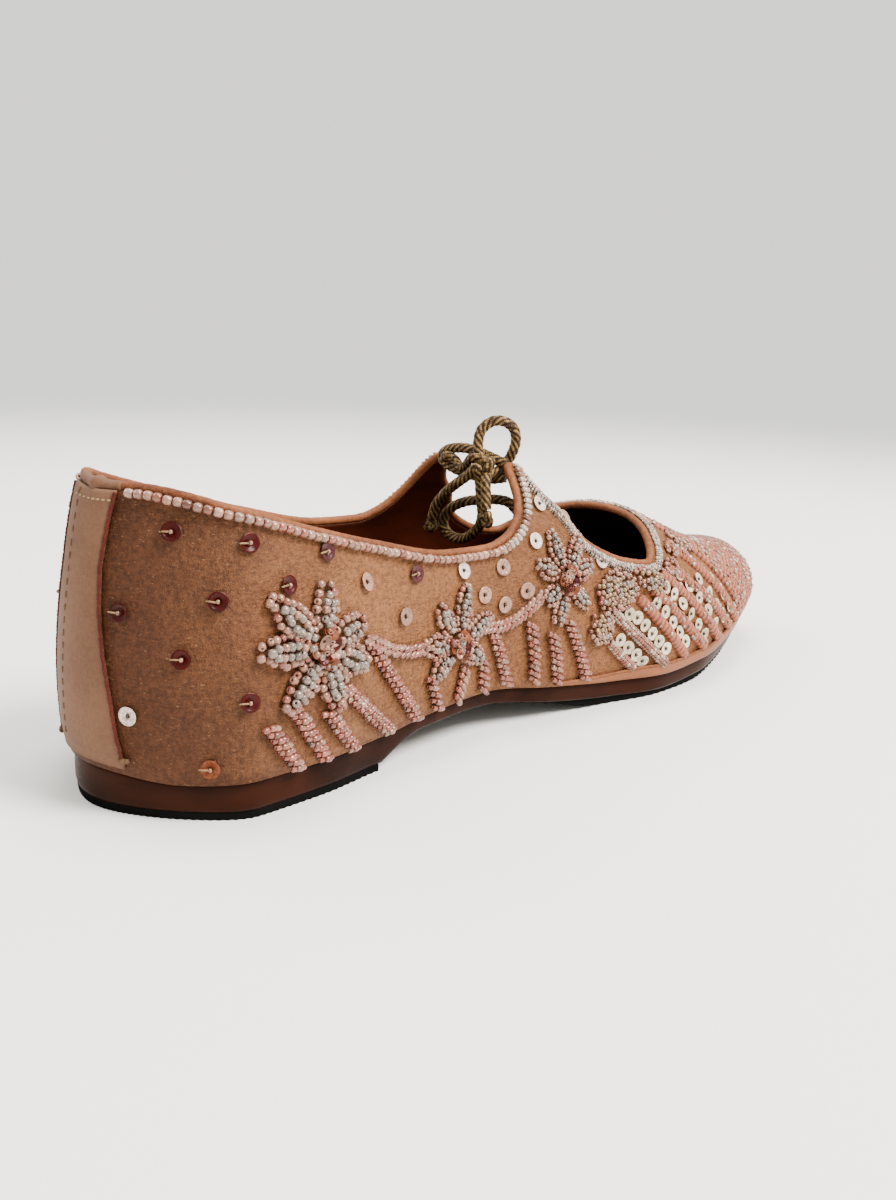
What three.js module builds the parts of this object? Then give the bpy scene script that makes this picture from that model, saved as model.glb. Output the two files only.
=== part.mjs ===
// Beaded satin bridal shoe, left foot, flat heel, two ears tied across the instep.
// Units are millimetres. X runs from heel to toe, Y to the wearer's left, Z up.
// The shoe stands on Z = 0, with its outline centred on X = 0 and Y = 0.

import * as THREE from 'three';

// Driving sizes of the last and the upper

const shoeLength = 239;
const ballHalfWidth = 36;
const heelSeatHeight = 8.6;
const instepHeight = 60;
const collarHeight = 68.6;
const heelRoundLength = 22.4;
const toeRoundLength = 49.8;
const wallThickness = 1.8;

// Driving sizes of the pieces on the upper

const pieceGap = 0.3;
const bindingRadius = 0.95;
const stayThickness = 0.8;
const stayTopHalfWidth = 6.8;
const stayFootHalfWidth = 10;
const bandThickness = 0.6;
const bandHeight = 5.2;
const flowerRise = 2.4;
const petalRise = 1.7;
const clusterRise = 2.2;

// Driving sizes of the sole

const soleEdgeThickness = 3.3;
const heelTreadThickness = 1.7;
const forefootTreadThickness = 3;
const soleInset = 0.8;
const treadInset = 1.2;
const insoleThickness = 1.8;
const insoleClearance = 0.5;
const heelBlockLength = 62;
const heelBreastLength = 14;
const forefootTreadStart = 128;

// Driving sizes of the tie

const tieDiameter = 2.8;
const tieKnotRadius = 2.7;
const tieEndKnotRadius = 2.1;

// Cross sections of the last, heel to toe.
// at: share of the length. medial and lateral: share of ballHalfWidth.
// edge: height of the upper's lower edge, share of heelSeatHeight.
// top: height of the top line, share of instepHeight.
// shift: sideways place of the top line, share of ballHalfWidth.
// square: roundness of the section, 2 is an ellipse.
// full: outward swell of the side wall, share of ballHalfWidth.

const lastTable = [
  { at: 0.00, medial: 0.550, lateral: 0.550, edge: 1.16, top: 1.533, shift: 0.00, square: 2.60, full: 0.042 },
  { at: 0.04, medial: 0.690, lateral: 0.690, edge: 0.96, top: 1.533, shift: 0.00, square: 2.62, full: 0.042 },
  { at: 0.10, medial: 0.833, lateral: 0.833, edge: 1.01, top: 1.527, shift: 0.00, square: 2.60, full: 0.042 },
  { at: 0.17, medial: 0.822, lateral: 0.831, edge: 1.00, top: 1.467, shift: 0.00, square: 2.50, full: 0.042 },
  { at: 0.25, medial: 0.750, lateral: 0.814, edge: 1.02, top: 1.400, shift: 0.00, square: 2.40, full: 0.042 },
  { at: 0.33, medial: 0.703, lateral: 0.806, edge: 1.20, top: 1.305, shift: 0.00, square: 2.27, full: 0.042 },
  { at: 0.41, medial: 0.672, lateral: 0.822, edge: 1.28, top: 1.223, shift: -0.014, square: 2.20, full: 0.056 },
  { at: 0.50, medial: 0.775, lateral: 0.875, edge: 1.03, top: 1.130, shift: -0.028, square: 2.20, full: 0.056 },
  { at: 0.59, medial: 0.861, lateral: 0.958, edge: 0.79, top: 0.982, shift: -0.042, square: 2.12, full: 0.042 },
  { at: 0.67, medial: 0.961, lateral: 1.028, edge: 0.72, top: 0.862, shift: -0.042, square: 2.10, full: 0.033 },
  { at: 0.74, medial: 0.947, lateral: 1.014, edge: 0.83, top: 0.738, shift: -0.028, square: 2.12, full: 0.033 },
  { at: 0.82, medial: 0.825, lateral: 0.897, edge: 1.06, top: 0.603, shift: 0.00, square: 2.20, full: 0.033 },
  { at: 0.90, medial: 0.689, lateral: 0.728, edge: 1.28, top: 0.507, shift: 0.00, square: 2.40, full: 0.028 },
  { at: 1.00, medial: 0.617, lateral: 0.617, edge: 1.56, top: 0.448, shift: 0.00, square: 2.60, full: 0.022 },
];

// Side view of the topline. at: share of the length. high: share of collarHeight.

const rimTable = [
  { at: -0.017, high: 0.948 },
  { at: 0.025, high: 1.000 },
  { at: 0.084, high: 0.945 },
  { at: 0.167, high: 0.853 },
  { at: 0.251, high: 0.767 },
  { at: 0.356, high: 0.683 },
  { at: 0.415, high: 0.673 },
  { at: 0.446, high: 0.701 },
  { at: 0.470, high: 0.767 },
  { at: 0.480, high: 0.829 },
  { at: 0.485, high: 0.893 },
  { at: 0.490, high: 0.937 },
  { at: 0.496, high: 0.933 },
  { at: 0.505, high: 0.872 },
  { at: 0.515, high: 0.825 },
  { at: 0.536, high: 0.757 },
  { at: 0.556, high: 0.656 },
  { at: 0.584, high: 0.593 },
  { at: 0.617, high: 0.547 },
  { at: 0.661, high: 0.523 },
  { at: 0.703, high: 0.627 },
  { at: 0.728, high: 0.700 },
  { at: 1.000, high: 1.224 },
];

// The three beaded flowers of one side, drawn in the side view.
// at and high place the centre, as shares of shoeLength and instepHeight.
// Each petal has the place of its tip in the same shares.

const flowerTable = [
  {
    name: 'flower_back',
    at: 0.161,
    high: 0.583,
    petals: [
      { at: 0.105, high: 0.790 }, { at: 0.170, high: 0.817 }, { at: 0.216, high: 0.640 },
      { at: 0.220, high: 0.470 }, { at: 0.182, high: 0.345 }, { at: 0.119, high: 0.388 },
      { at: 0.088, high: 0.620 },
    ],
  },
  {
    name: 'flower_middle',
    at: 0.353,
    high: 0.435,
    petals: [
      { at: 0.326, high: 0.610 }, { at: 0.371, high: 0.667 }, { at: 0.405, high: 0.525 },
      { at: 0.392, high: 0.350 }, { at: 0.317, high: 0.320 }, { at: 0.300, high: 0.470 },
    ],
  },
  {
    name: 'flower_front',
    at: 0.511,
    high: 0.608,
    petals: [
      { at: 0.473, high: 0.693 }, { at: 0.502, high: 0.813 }, { at: 0.548, high: 0.777 },
      { at: 0.558, high: 0.653 }, { at: 0.539, high: 0.487 }, { at: 0.492, high: 0.427 },
      { at: 0.477, high: 0.533 },
    ],
  },
];

// Raised leaves of packed beads in front of the flowers, drawn in the side view.
// long and wide are half sizes, as shares of shoeLength. lean is in degrees.

const clusterTable = [
  { name: 'leaf_low', at: 0.558, high: 0.378, long: 0.019, wide: 0.013, lean: 60 },
  { name: 'leaf_middle', at: 0.592, high: 0.540, long: 0.026, wide: 0.013, lean: -10 },
  { name: 'leaf_high', at: 0.645, high: 0.553, long: 0.019, wide: 0.012, lean: -20 },
];

// Smooth curve through a table column, without overshoot between its rows

function curveThrough(xs, ys) {
  const count = xs.length;
  const slopes = [];
  for (let i = 0; i < count - 1; i += 1) slopes.push((ys[i + 1] - ys[i]) / (xs[i + 1] - xs[i]));
  const tangents = [slopes[0]];
  for (let i = 1; i < count - 1; i += 1) {
    const before = slopes[i - 1];
    const after = slopes[i];
    const weightBefore = 2 * (xs[i + 1] - xs[i]) + (xs[i] - xs[i - 1]);
    const weightAfter = (xs[i + 1] - xs[i]) + 2 * (xs[i] - xs[i - 1]);
    const sameSign = before * after > 0;
    const meanSlope = (weightBefore + weightAfter) / (weightBefore / before + weightAfter / after);
    tangents.push(sameSign ? meanSlope : 0);
  }
  tangents.push(slopes[count - 2]);
  return (x) => {
    let i = 0;
    while (i < count - 2 && x > xs[i + 1]) i += 1;
    const width = xs[i + 1] - xs[i];
    const k = Math.min(Math.max((x - xs[i]) / width, 0), 1);
    const k2 = k * k;
    const k3 = k2 * k;
    const fromStart = (2 * k3 - 3 * k2 + 1) * ys[i] + (k3 - 2 * k2 + k) * width * tangents[i];
    const fromEnd = (3 * k2 - 2 * k3) * ys[i + 1] + (k3 - k2) * width * tangents[i + 1];
    return fromStart + fromEnd;
  };
}

function column(table, key, scale) {
  return curveThrough(table.map((row) => row.at * shoeLength), table.map((row) => row[key] * scale));
}

const medialWidth = column(lastTable, 'medial', ballHalfWidth);
const lateralWidth = column(lastTable, 'lateral', ballHalfWidth);
const featherHeight = column(lastTable, 'edge', heelSeatHeight);
const ridgeHeight = column(lastTable, 'top', instepHeight);
const ridgeShift = column(lastTable, 'shift', ballHalfWidth);
const sectionSquare = column(lastTable, 'square', 1);
const sectionBulge = column(lastTable, 'full', ballHalfWidth);
const rimHeight = column(rimTable, 'high', collarHeight);

// Sides: -1 is medial, at negative Y, and 1 is lateral, at positive Y

const SIDES = [-1, 1];
const heelRoundness = 2.05;
const toeRoundness = 2.04;

function halfWidth(side, x) {
  const plain = side < 0 ? medialWidth(x) : lateralWidth(x);
  const heel = Math.min(Math.max(1 - x / heelRoundLength, 0), 1);
  const toe = Math.min(Math.max(1 - (shoeLength - x) / toeRoundLength, 0), 1);
  const heelShare = Math.max(1 - heel ** heelRoundness, 0) ** (1 / heelRoundness);
  const toeShare = Math.max(1 - toe ** toeRoundness, 0) ** (1 / toeRoundness);
  return plain * heelShare * toeShare;
}

// The top line keeps clear of both ends of the shoe, with a soft stop

const topLineStart = 23.2;
const topLineEnd = shoeLength - 20.3;
const topLineSoftness = 6;

function topLineX(x) {
  const above = (x - topLineStart) / topLineSoftness;
  const lifted = topLineStart + topLineSoftness * Math.log1p(Math.exp(above));
  const below = (topLineEnd - lifted) / topLineSoftness;
  return topLineEnd - topLineSoftness * Math.log1p(Math.exp(below));
}

// A point of the last: x along the shoe, rise 0 at the lower edge and 1 on the top line

const bulgePeak = 6.75;

function lastPoint(side, x, rise) {
  const y = side * halfWidth(side, x);
  const topX = topLineX(x);
  const topY = ridgeShift(topX);
  const topZ = ridgeHeight(topX);
  const angle = Math.min(Math.max(rise, 0), 1) * Math.PI / 2;
  const power = 2 / sectionSquare(x);
  const inward = 1 - Math.max(Math.cos(angle), 0) ** power;
  const upward = Math.sin(angle) ** power;
  const alongX = topX - x;
  const alongY = topY - y;
  const reach = Math.hypot(alongX, alongY) + 1e-9;
  const bulge = sectionBulge(x) * bulgePeak * upward * (1 - upward) ** 2;
  const low = featherHeight(x);
  return new THREE.Vector3(
    x + alongX * inward - alongX / reach * bulge,
    y + alongY * inward - alongY / reach * bulge,
    low + (topZ - low) * upward,
  );
}

// Around the shoe the place is an angle share: 0 at the heel, 1 at the toe tip

function xOfTurn(turn) {
  return shoeLength * (1 - Math.cos(Math.PI * turn)) / 2;
}

function turnOfX(x) {
  return Math.acos(Math.min(Math.max(1 - 2 * x / shoeLength, -1), 1)) / Math.PI;
}

// signedTurn is negative on the medial side and positive on the lateral side

function aroundPoint(signedTurn, rise) {
  const wrapped = Math.abs(signedTurn) > 1 ? signedTurn - 2 * Math.sign(signedTurn) : signedTurn;
  const side = wrapped < 0 ? -1 : 1;
  return lastPoint(side, xOfTurn(Math.abs(wrapped)), rise);
}

// A point lifted off the last along its outward normal

const normalStep = 0.004;

function liftedPoint(signedTurn, rise, lift) {
  const point = aroundPoint(signedTurn, rise);
  const along = aroundPoint(signedTurn + normalStep, rise).sub(aroundPoint(signedTurn - normalStep, rise));
  const low = Math.max(rise - normalStep, 0);
  const high = Math.min(rise + normalStep, 1);
  const up = aroundPoint(signedTurn, high).sub(aroundPoint(signedTurn, low));
  const normal = along.cross(up).normalize();
  if (normal.dot(new THREE.Vector3(shoeLength / 2 - point.x, -point.y, 0)) > 0) normal.negate();
  return point.addScaledVector(normal, lift);
}

// The rise at which the last reaches a height, on one side at one x

function riseAtHeight(side, x, height) {
  let low = 0;
  let high = 1;
  for (let i = 0; i < 30; i += 1) {
    const middle = (low + high) / 2;
    if (lastPoint(side, x, middle).z > height) high = middle;
    else low = middle;
  }
  return (low + high) / 2;
}

// The throat is where the topline meets the top line of the last

const throatSearchStart = 0.6;
const throatSearchEnd = 0.85;

function findThroat() {
  let low = throatSearchStart * shoeLength;
  let high = throatSearchEnd * shoeLength;
  for (let i = 0; i < 40; i += 1) {
    const middle = (low + high) / 2;
    if (rimHeight(middle) < ridgeHeight(middle)) low = middle;
    else high = middle;
  }
  return high;
}

const throatX = findThroat();

// The rise at which the last first crosses the topline, 1 where it never does

function riseAtRim(side, x) {
  if (x >= throatX) return 1;
  const steps = 60;
  for (let i = 1; i <= steps; i += 1) {
    const point = lastPoint(side, x, i / steps);
    if (point.z > rimHeight(point.x)) {
      let low = (i - 1) / steps;
      let high = i / steps;
      for (let k = 0; k < 24; k += 1) {
        const middle = (low + high) / 2;
        const probe = lastPoint(side, x, middle);
        if (probe.z > rimHeight(probe.x)) high = middle;
        else low = middle;
      }
      return (low + high) / 2;
    }
  }
  return 1;
}

// Stations along the shoe, dense at both ends, at the ears and at the throat

const heelEndAt = 0.1;
const toeStartAt = 0.9;
const heelSteps = 7;
const quarterSteps = 6;
const firstEarRow = 6;
const lastEarRow = 18;
const longestEarStep = 3;
const throatSteps = 8;
const throatCrowding = 1.8;
const vampSteps = 6;
const toeSteps = 7;

function stationList() {
  const list = [];
  const heelEnd = heelEndAt * shoeLength;
  for (let i = 0; i < heelSteps; i += 1) list.push(heelEnd * (1 - Math.cos(Math.PI / 2 * i / heelSteps)));
  const earStart = rimTable[firstEarRow].at * shoeLength;
  for (let i = 0; i < quarterSteps; i += 1) list.push(heelEnd + (earStart - heelEnd) * i / quarterSteps);
  for (let row = firstEarRow; row < lastEarRow; row += 1) {
    const here = rimTable[row].at * shoeLength;
    const next = rimTable[row + 1].at * shoeLength;
    list.push(here);
    if (next - here > longestEarStep) list.push((here + next) / 2);
  }
  const throatStart = rimTable[lastEarRow].at * shoeLength;
  for (let i = 0; i < throatSteps; i += 1) {
    list.push(throatX - (throatX - throatStart) * (1 - i / throatSteps) ** throatCrowding);
  }
  const toeStart = toeStartAt * shoeLength;
  for (let i = 0; i < vampSteps; i += 1) list.push(throatX + (toeStart - throatX) * i / vampSteps);
  for (let i = 0; i <= toeSteps; i += 1) {
    list.push(toeStart + (shoeLength - toeStart) * Math.sin(Math.PI / 2 * i / toeSteps));
  }
  return list;
}

const stations = stationList();
const rimRise = { '-1': stations.map((x) => riseAtRim(-1, x)), 1: stations.map((x) => riseAtRim(1, x)) };

// One closed mesh from loose points and faces, with equal points joined

const weldStep = 1e-4;

function closedMesh(points, faces) {
  const kept = [];
  const indexOf = new Map();
  const welded = points.map((point) => {
    const key = [point.x, point.y, point.z].map((value) => Math.round(value / weldStep)).join(',');
    if (!indexOf.has(key)) {
      indexOf.set(key, kept.length);
      kept.push(point);
    }
    return indexOf.get(key);
  });
  const index = [];
  for (const face of faces) {
    const [a, b, c] = face.map((corner) => welded[corner]);
    if (a !== b && b !== c && c !== a) index.push(a, b, c);
  }
  const geometry = new THREE.BufferGeometry();
  const numbers = kept.flatMap((point) => [point.x, point.y, point.z]);
  geometry.setAttribute('position', new THREE.Float32BufferAttribute(numbers, 3));
  geometry.setIndex(index);
  geometry.computeVertexNormals();
  geometry.userData.welded = welded;
  return geometry;
}

// Faces of a grid of rows by columns whose first point has the given number

function gridFaces(first, rows, columns, flipped, closed = false) {
  const faces = [];
  const lastColumn = closed ? columns : columns - 1;
  for (let i = 0; i < rows - 1; i += 1) {
    for (let j = 0; j < lastColumn; j += 1) {
      const next = (j + 1) % columns;
      const a = first + i * columns + j;
      const b = first + i * columns + next;
      const c = first + (i + 1) * columns + next;
      const d = first + (i + 1) * columns + j;
      if (flipped) faces.push([a, c, b], [a, d, c]);
      else faces.push([a, b, c], [a, c, d]);
    }
  }
  return faces;
}

// The hollow upper: an outer skin, an inner skin one wall inside it, and two edges

const upperRows = 9;

function buildUpper() {
  const order = [];
  for (let i = stations.length - 1; i > 0; i -= 1) order.push({ side: -1, i });
  for (let i = 0; i < stations.length - 1; i += 1) order.push({ side: 1, i });
  const columns = order.length;
  const outer = [];
  for (let row = 0; row < upperRows; row += 1) {
    for (const { side, i } of order) {
      outer.push(lastPoint(side, stations[i], rimRise[side][i] * row / (upperRows - 1)));
    }
  }
  // The last toe column stands for both sides
  const outerFaces = gridFaces(0, upperRows, columns, true, true);
  const skin = closedMesh(outer, outerFaces);
  const normals = skin.getAttribute('normal');
  const inner = outer.map((point, number) => {
    const normal = new THREE.Vector3().fromBufferAttribute(normals, skin.userData.welded[number]);
    if (number < columns) normal.setZ(0).normalize();
    return point.clone().addScaledVector(normal, -wallThickness);
  });
  const points = [...outer, ...inner];
  const count = outer.length;
  const faces = [...outerFaces, ...gridFaces(count, upperRows, columns, false, true)];
  const top = (upperRows - 1) * columns;
  for (let j = 0; j < columns; j += 1) {
    const next = (j + 1) % columns;
    faces.push([j, next, count + next], [j, count + next, count + j]);
    const open = rimRise[order[j].side][order[j].i] < 1 || rimRise[order[next].side][order[next].i] < 1;
    if (open) {
      const a = top + j;
      const b = top + next;
      faces.push([a, count + b, b], [a, count + a, count + b]);
    }
  }
  const rimLoop = [];
  for (let j = 0; j < columns; j += 1) {
    const { side, i } = order[j];
    if (stations[i] <= throatX) {
      rimLoop.push({ outside: outer[top + j], inside: inner[top + j], x: stations[i], side });
    }
  }
  return { geometry: closedMesh(points, faces), rimLoop };
}

// A closed ring swept along a loop of centres, each with two section directions

function sweptLoop(rings, radius, sides) {
  const points = [];
  for (const { centre, across, along } of rings) {
    for (let k = 0; k < sides; k += 1) {
      const angle = 2 * Math.PI * k / sides;
      points.push(centre.clone()
        .addScaledVector(across, radius * Math.cos(angle))
        .addScaledVector(along, radius * Math.sin(angle)));
    }
  }
  const faces = [];
  for (let i = 0; i < rings.length; i += 1) {
    const nextRing = (i + 1) % rings.length;
    for (let k = 0; k < sides; k += 1) {
      const nextSide = (k + 1) % sides;
      const a = i * sides + k;
      const b = i * sides + nextSide;
      const c = nextRing * sides + nextSide;
      const d = nextRing * sides + k;
      faces.push([a, b, c], [a, c, d]);
    }
  }
  return { points, faces };
}

// The rolled binding lies on the edge of the topline, all the way round the opening

const bindingSides = 6;
const closestRings = 0.5;

function buildBinding(rimLoop) {
  const loop = rimLoop.filter((place, i) => {
    const before = rimLoop[(i + rimLoop.length - 1) % rimLoop.length];
    return place.outside.distanceTo(before.outside) > closestRings;
  });
  const middles = loop.map((place) => place.outside.clone().add(place.inside).multiplyScalar(0.5));
  const rings = loop.map((place, i) => {
    const before = middles[(i + loop.length - 1) % loop.length];
    const after = middles[(i + 1) % loop.length];
    const tangent = after.clone().sub(before).normalize();
    const through = place.outside.clone().sub(place.inside).normalize();
    const away = tangent.clone().cross(through).normalize();
    const centre = middles[i].clone().addScaledVector(away, bindingRadius + pieceGap);
    return { centre, across: through, along: away };
  });
  const { points, faces } = sweptLoop(rings, bindingRadius, bindingSides);
  return closedMesh(points, faces);
}

// The faces round the edge of two layers of rows by columns, outside first

function edgeFaces(rows, columns, flipped) {
  const layer = rows * columns;
  const loop = [];
  for (let j = 0; j < columns - 1; j += 1) loop.push(j);
  for (let i = 0; i < rows - 1; i += 1) loop.push((i + 1) * columns - 1);
  for (let j = columns - 1; j > 0; j -= 1) loop.push((rows - 1) * columns + j);
  for (let i = rows - 1; i > 0; i -= 1) loop.push(i * columns);
  return loop.flatMap((a, k) => {
    const b = loop[(k + 1) % loop.length];
    if (flipped) return [[a, layer + b, b], [a, layer + a, layer + b]];
    return [[a, b, layer + b], [a, layer + b, layer + a]];
  });
}

// A panel between two forms of the last, one lift and another off the upper

function panel(turnsAt, riseAt, rows, lowLift, highLift) {
  const points = [];
  for (const lift of [lowLift, highLift]) {
    for (let row = 0; row < rows; row += 1) {
      const share = row / (rows - 1);
      for (const turn of turnsAt(share)) points.push(liftedPoint(turn, riseAt(turn, share), lift));
    }
  }
  const columns = turnsAt(0).length;
  const faces = [
    ...gridFaces(0, rows, columns, false),
    ...gridFaces(rows * columns, rows, columns, true),
    ...edgeFaces(rows, columns, true),
  ];
  return closedMesh(points, faces);
}

const widestHeelTurn = 0.3;

function turnOfHalfWidth(width) {
  let low = 0;
  let high = widestHeelTurn;
  for (let i = 0; i < 30; i += 1) {
    const middle = (low + high) / 2;
    if (halfWidth(-1, xOfTurn(middle)) > width) high = middle;
    else low = middle;
  }
  return (low + high) / 2;
}

// The stay covers the back seam from the sole to just under the binding

const stayColumns = 9;
const stayRows = 9;
const stayTopGap = 0.4;
const stayNarrowEnd = 0.625;
const lowestRise = 0.004;

function buildStay() {
  const turns = (share) => {
    const narrowing = Math.min(share / stayNarrowEnd, 1);
    const width = stayFootHalfWidth + (stayTopHalfWidth - stayFootHalfWidth) * narrowing;
    const half = turnOfHalfWidth(width);
    return Array.from({ length: stayColumns }, (_, k) => half * (2 * k / (stayColumns - 1) - 1));
  };
  const rise = (turn, share) => {
    const side = turn < 0 ? -1 : 1;
    const x = xOfTurn(Math.abs(turn));
    const rim = lastPoint(side, x, riseAtRim(side, x));
    return lowestRise + (riseAtHeight(side, x, rim.z - stayTopGap) - lowestRise) * share;
  };
  return panel(turns, rise, stayRows, pieceGap, pieceGap + stayThickness);
}

// The plain satin band runs round the forefoot between the beading and the sole

const bandStartAt = 0.5;
const bandRows = 3;
const bandTaper = 0.08;
const bandEndShare = 0.35;

function buildBand() {
  const start = turnOfX(bandStartAt * shoeLength);
  const lateral = stations.filter((x) => x > bandStartAt * shoeLength).map(turnOfX);
  const medial = lateral.slice(0, -1).reverse().map((turn) => -turn);
  const turns = [...lateral, ...medial];
  const rise = (turn, share) => {
    const side = turn < 0 ? -1 : 1;
    const x = xOfTurn(Math.abs(turn));
    const fromEnd = Math.min((Math.abs(turn) - start) / bandTaper, 1);
    const height = bandHeight * (bandEndShare + (1 - bandEndShare) * fromEnd);
    return lowestRise + (riseAtHeight(side, x, featherHeight(x) + height) - lowestRise) * share;
  };
  return panel(() => turns, rise, bandRows, pieceGap, pieceGap + bandThickness);
}

// A raised motif on one side: an outline in the side view, domed between two lifts

const innerRing = 0.35;
const outerRing = 0.7;

function motif(side, centre, outline, centreRise, ringRise, edgeRise) {
  const place = (x, z, lift) => {
    const rise = riseAtHeight(side, x, z);
    return liftedPoint(side * turnOfX(x), rise, lift);
  };
  const count = outline.length;
  const layers = [
    { share: 0, top: centreRise },
    { share: innerRing, top: (centreRise + ringRise) / 2 },
    { share: outerRing, top: ringRise },
    { share: 1, top: edgeRise },
  ];
  const points = [];
  for (const bottom of [false, true]) {
    for (const { share, top } of layers) {
      const lift = bottom ? pieceGap : pieceGap + top;
      for (const spot of outline) {
        points.push(place(
          centre.x + (spot.x - centre.x) * share,
          centre.z + (spot.z - centre.z) * share,
          lift,
        ));
      }
    }
  }
  const layer = layers.length * count;
  const medial = side < 0;
  const faces = [
    ...gridFaces(0, layers.length, count, medial, true),
    ...gridFaces(layer, layers.length, count, !medial, true),
  ];
  const rim = (layers.length - 1) * count;
  for (let j = 0; j < count; j += 1) {
    const next = (j + 1) % count;
    const a = rim + j;
    const b = rim + next;
    if (medial) faces.push([a, layer + b, b], [a, layer + a, layer + b]);
    else faces.push([a, b, layer + b], [a, layer + b, layer + a]);
  }
  return closedMesh(points, faces);
}

// Petals are leaf shapes round a centre, with a notch between neighbours

const petalHalfWidth = 3.6;
const petalNotch = 0.42;
const petalShoulder = 0.72;
const widestPetal = 0.4;
const petalEdge = 0.5;
const clusterShoulder = 0.85;
const clusterEdge = 0.3;

function flowerOutline(flower) {
  const centre = { x: flower.at * shoeLength, z: flower.high * instepHeight };
  const petals = flower.petals.map((petal) => {
    const dx = petal.at * shoeLength - centre.x;
    const dz = petal.high * instepHeight - centre.z;
    return { length: Math.hypot(dx, dz), angle: Math.atan2(dz, dx) };
  }).sort((a, b) => a.angle - b.angle);
  const outline = [];
  const spot = (angle, radius) => {
    outline.push({ x: centre.x + radius * Math.cos(angle), z: centre.z + radius * Math.sin(angle) });
  };
  petals.forEach((petal, i) => {
    const next = petals[(i + 1) % petals.length];
    const gap = (next.angle - petal.angle + 2 * Math.PI) % (2 * Math.PI);
    const shoulderAngle = Math.min(petalHalfWidth / (petal.length * petalShoulder), gap * widestPetal);
    spot(petal.angle - shoulderAngle, petal.length * petalShoulder);
    spot(petal.angle, petal.length);
    spot(petal.angle + shoulderAngle, petal.length * petalShoulder);
    spot(petal.angle + gap / 2, Math.min(petal.length, next.length) * petalNotch);
  });
  return { centre, outline };
}

const clusterSides = 14;

function clusterOutline(cluster) {
  const centre = { x: cluster.at * shoeLength, z: cluster.high * instepHeight };
  const lean = cluster.lean * Math.PI / 180;
  const outline = [];
  for (let k = 0; k < clusterSides; k += 1) {
    const angle = 2 * Math.PI * k / clusterSides;
    const u = cluster.long * shoeLength * Math.cos(angle);
    const v = cluster.wide * shoeLength * Math.sin(angle);
    outline.push({
      x: centre.x + u * Math.cos(lean) - v * Math.sin(lean),
      z: centre.z + u * Math.sin(lean) + v * Math.cos(lean),
    });
  }
  return { centre, outline };
}

// Sole pieces: slices across the shoe, each with a top and an underside

function soleEdge(side, x, inset) {
  const spread = (x - inset) * shoeLength / (shoeLength - 2 * inset);
  const plain = side < 0 ? medialWidth(x) : lateralWidth(x);
  return side * halfWidth(side, spread) * (1 - inset / plain);
}

const acrossSteps = 5;
const heelSlices = 10;
const breastSlices = 5;
const soleSlices = 18;
const treadSlices = 16;
const insoleSlices = 20;

function slicedSolid(xs, inset, topAt, bottomAt) {
  const points = [];
  for (const at of [topAt, bottomAt]) {
    for (const x of xs) {
      for (let k = 0; k < acrossSteps; k += 1) {
        const share = k / (acrossSteps - 1);
        const y = soleEdge(-1, x, inset) * (1 - share) + soleEdge(1, x, inset) * share;
        points.push(new THREE.Vector3(x, y, at(x)));
      }
    }
  }
  const rows = xs.length;
  const faces = [
    ...gridFaces(0, rows, acrossSteps, true),
    ...gridFaces(rows * acrossSteps, rows, acrossSteps, false),
    ...edgeFaces(rows, acrossSteps, false),
  ];
  return closedMesh(points, faces);
}

function sliceStations(start, end, roundStart, roundEnd, steps) {
  const list = [];
  for (let i = 0; i <= steps; i += 1) {
    const share = i / steps;
    let eased = share;
    if (roundStart && roundEnd) eased = (1 - Math.cos(Math.PI * share)) / 2;
    else if (roundStart) eased = 1 - Math.cos(Math.PI / 2 * share);
    else if (roundEnd) eased = Math.sin(Math.PI / 2 * share);
    list.push(start + (end - start) * eased);
  }
  return list;
}

const outsoleTop = (x) => featherHeight(x) - pieceGap;
const heelBlockBottom = heelTreadThickness + pieceGap;

function outsoleBottom(x) {
  const thin = featherHeight(x) - soleEdgeThickness;
  const share = Math.min(Math.max((x - heelBlockLength) / heelBreastLength, 0), 1);
  const eased = 1 - (1 - share) ** 2;
  return heelBlockBottom + (thin - heelBlockBottom) * eased;
}

const forefootTreadTop = (x) => outsoleBottom(x) - pieceGap;
const forefootTreadBottom = (x) => Math.max(forefootTreadTop(x) - forefootTreadThickness, 0);

function buildOutsole() {
  const waistStart = heelBlockLength + heelBreastLength;
  const heelStations = sliceStations(soleInset, heelBlockLength, true, false, heelSlices);
  const breastStations = sliceStations(heelBlockLength, waistStart, false, false, breastSlices);
  const foreStations = sliceStations(waistStart, shoeLength - soleInset, false, true, soleSlices);
  const xs = [...heelStations, ...breastStations.slice(1), ...foreStations.slice(1)];
  return slicedSolid(xs, soleInset, outsoleTop, outsoleBottom);
}

function buildHeelTread() {
  const xs = sliceStations(treadInset, heelBlockLength - treadInset, true, false, heelSlices);
  return slicedSolid(xs, treadInset, () => heelTreadThickness, () => 0);
}

function buildForefootTread() {
  const xs = sliceStations(forefootTreadStart, shoeLength - treadInset, false, true, treadSlices);
  return slicedSolid(xs, treadInset, forefootTreadTop, forefootTreadBottom);
}

function buildInsole() {
  const inset = wallThickness + insoleClearance;
  const xs = sliceStations(inset, shoeLength - inset, true, true, insoleSlices);
  return slicedSolid(xs, inset, (x) => featherHeight(x) + insoleThickness, featherHeight);
}

// Round pieces of the tie, along a smooth line through chosen points

function tube(points, radius, sides, steps) {
  const places = points.map(([x, y, z]) => new THREE.Vector3(x, y, z));
  const path = new THREE.CatmullRomCurve3(places, false, 'centripetal');
  const section = new THREE.Shape();
  for (let k = 0; k < sides; k += 1) {
    const angle = 2 * Math.PI * k / sides;
    if (k === 0) section.moveTo(radius * Math.cos(angle), radius * Math.sin(angle));
    else section.lineTo(radius * Math.cos(angle), radius * Math.sin(angle));
  }
  section.closePath();
  return new THREE.ExtrudeGeometry(section, { steps, extrudePath: path, curveSegments: 1 });
}

const tieSides = 8;
const knotSegments = 10;
const knotBands = 7;

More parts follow.
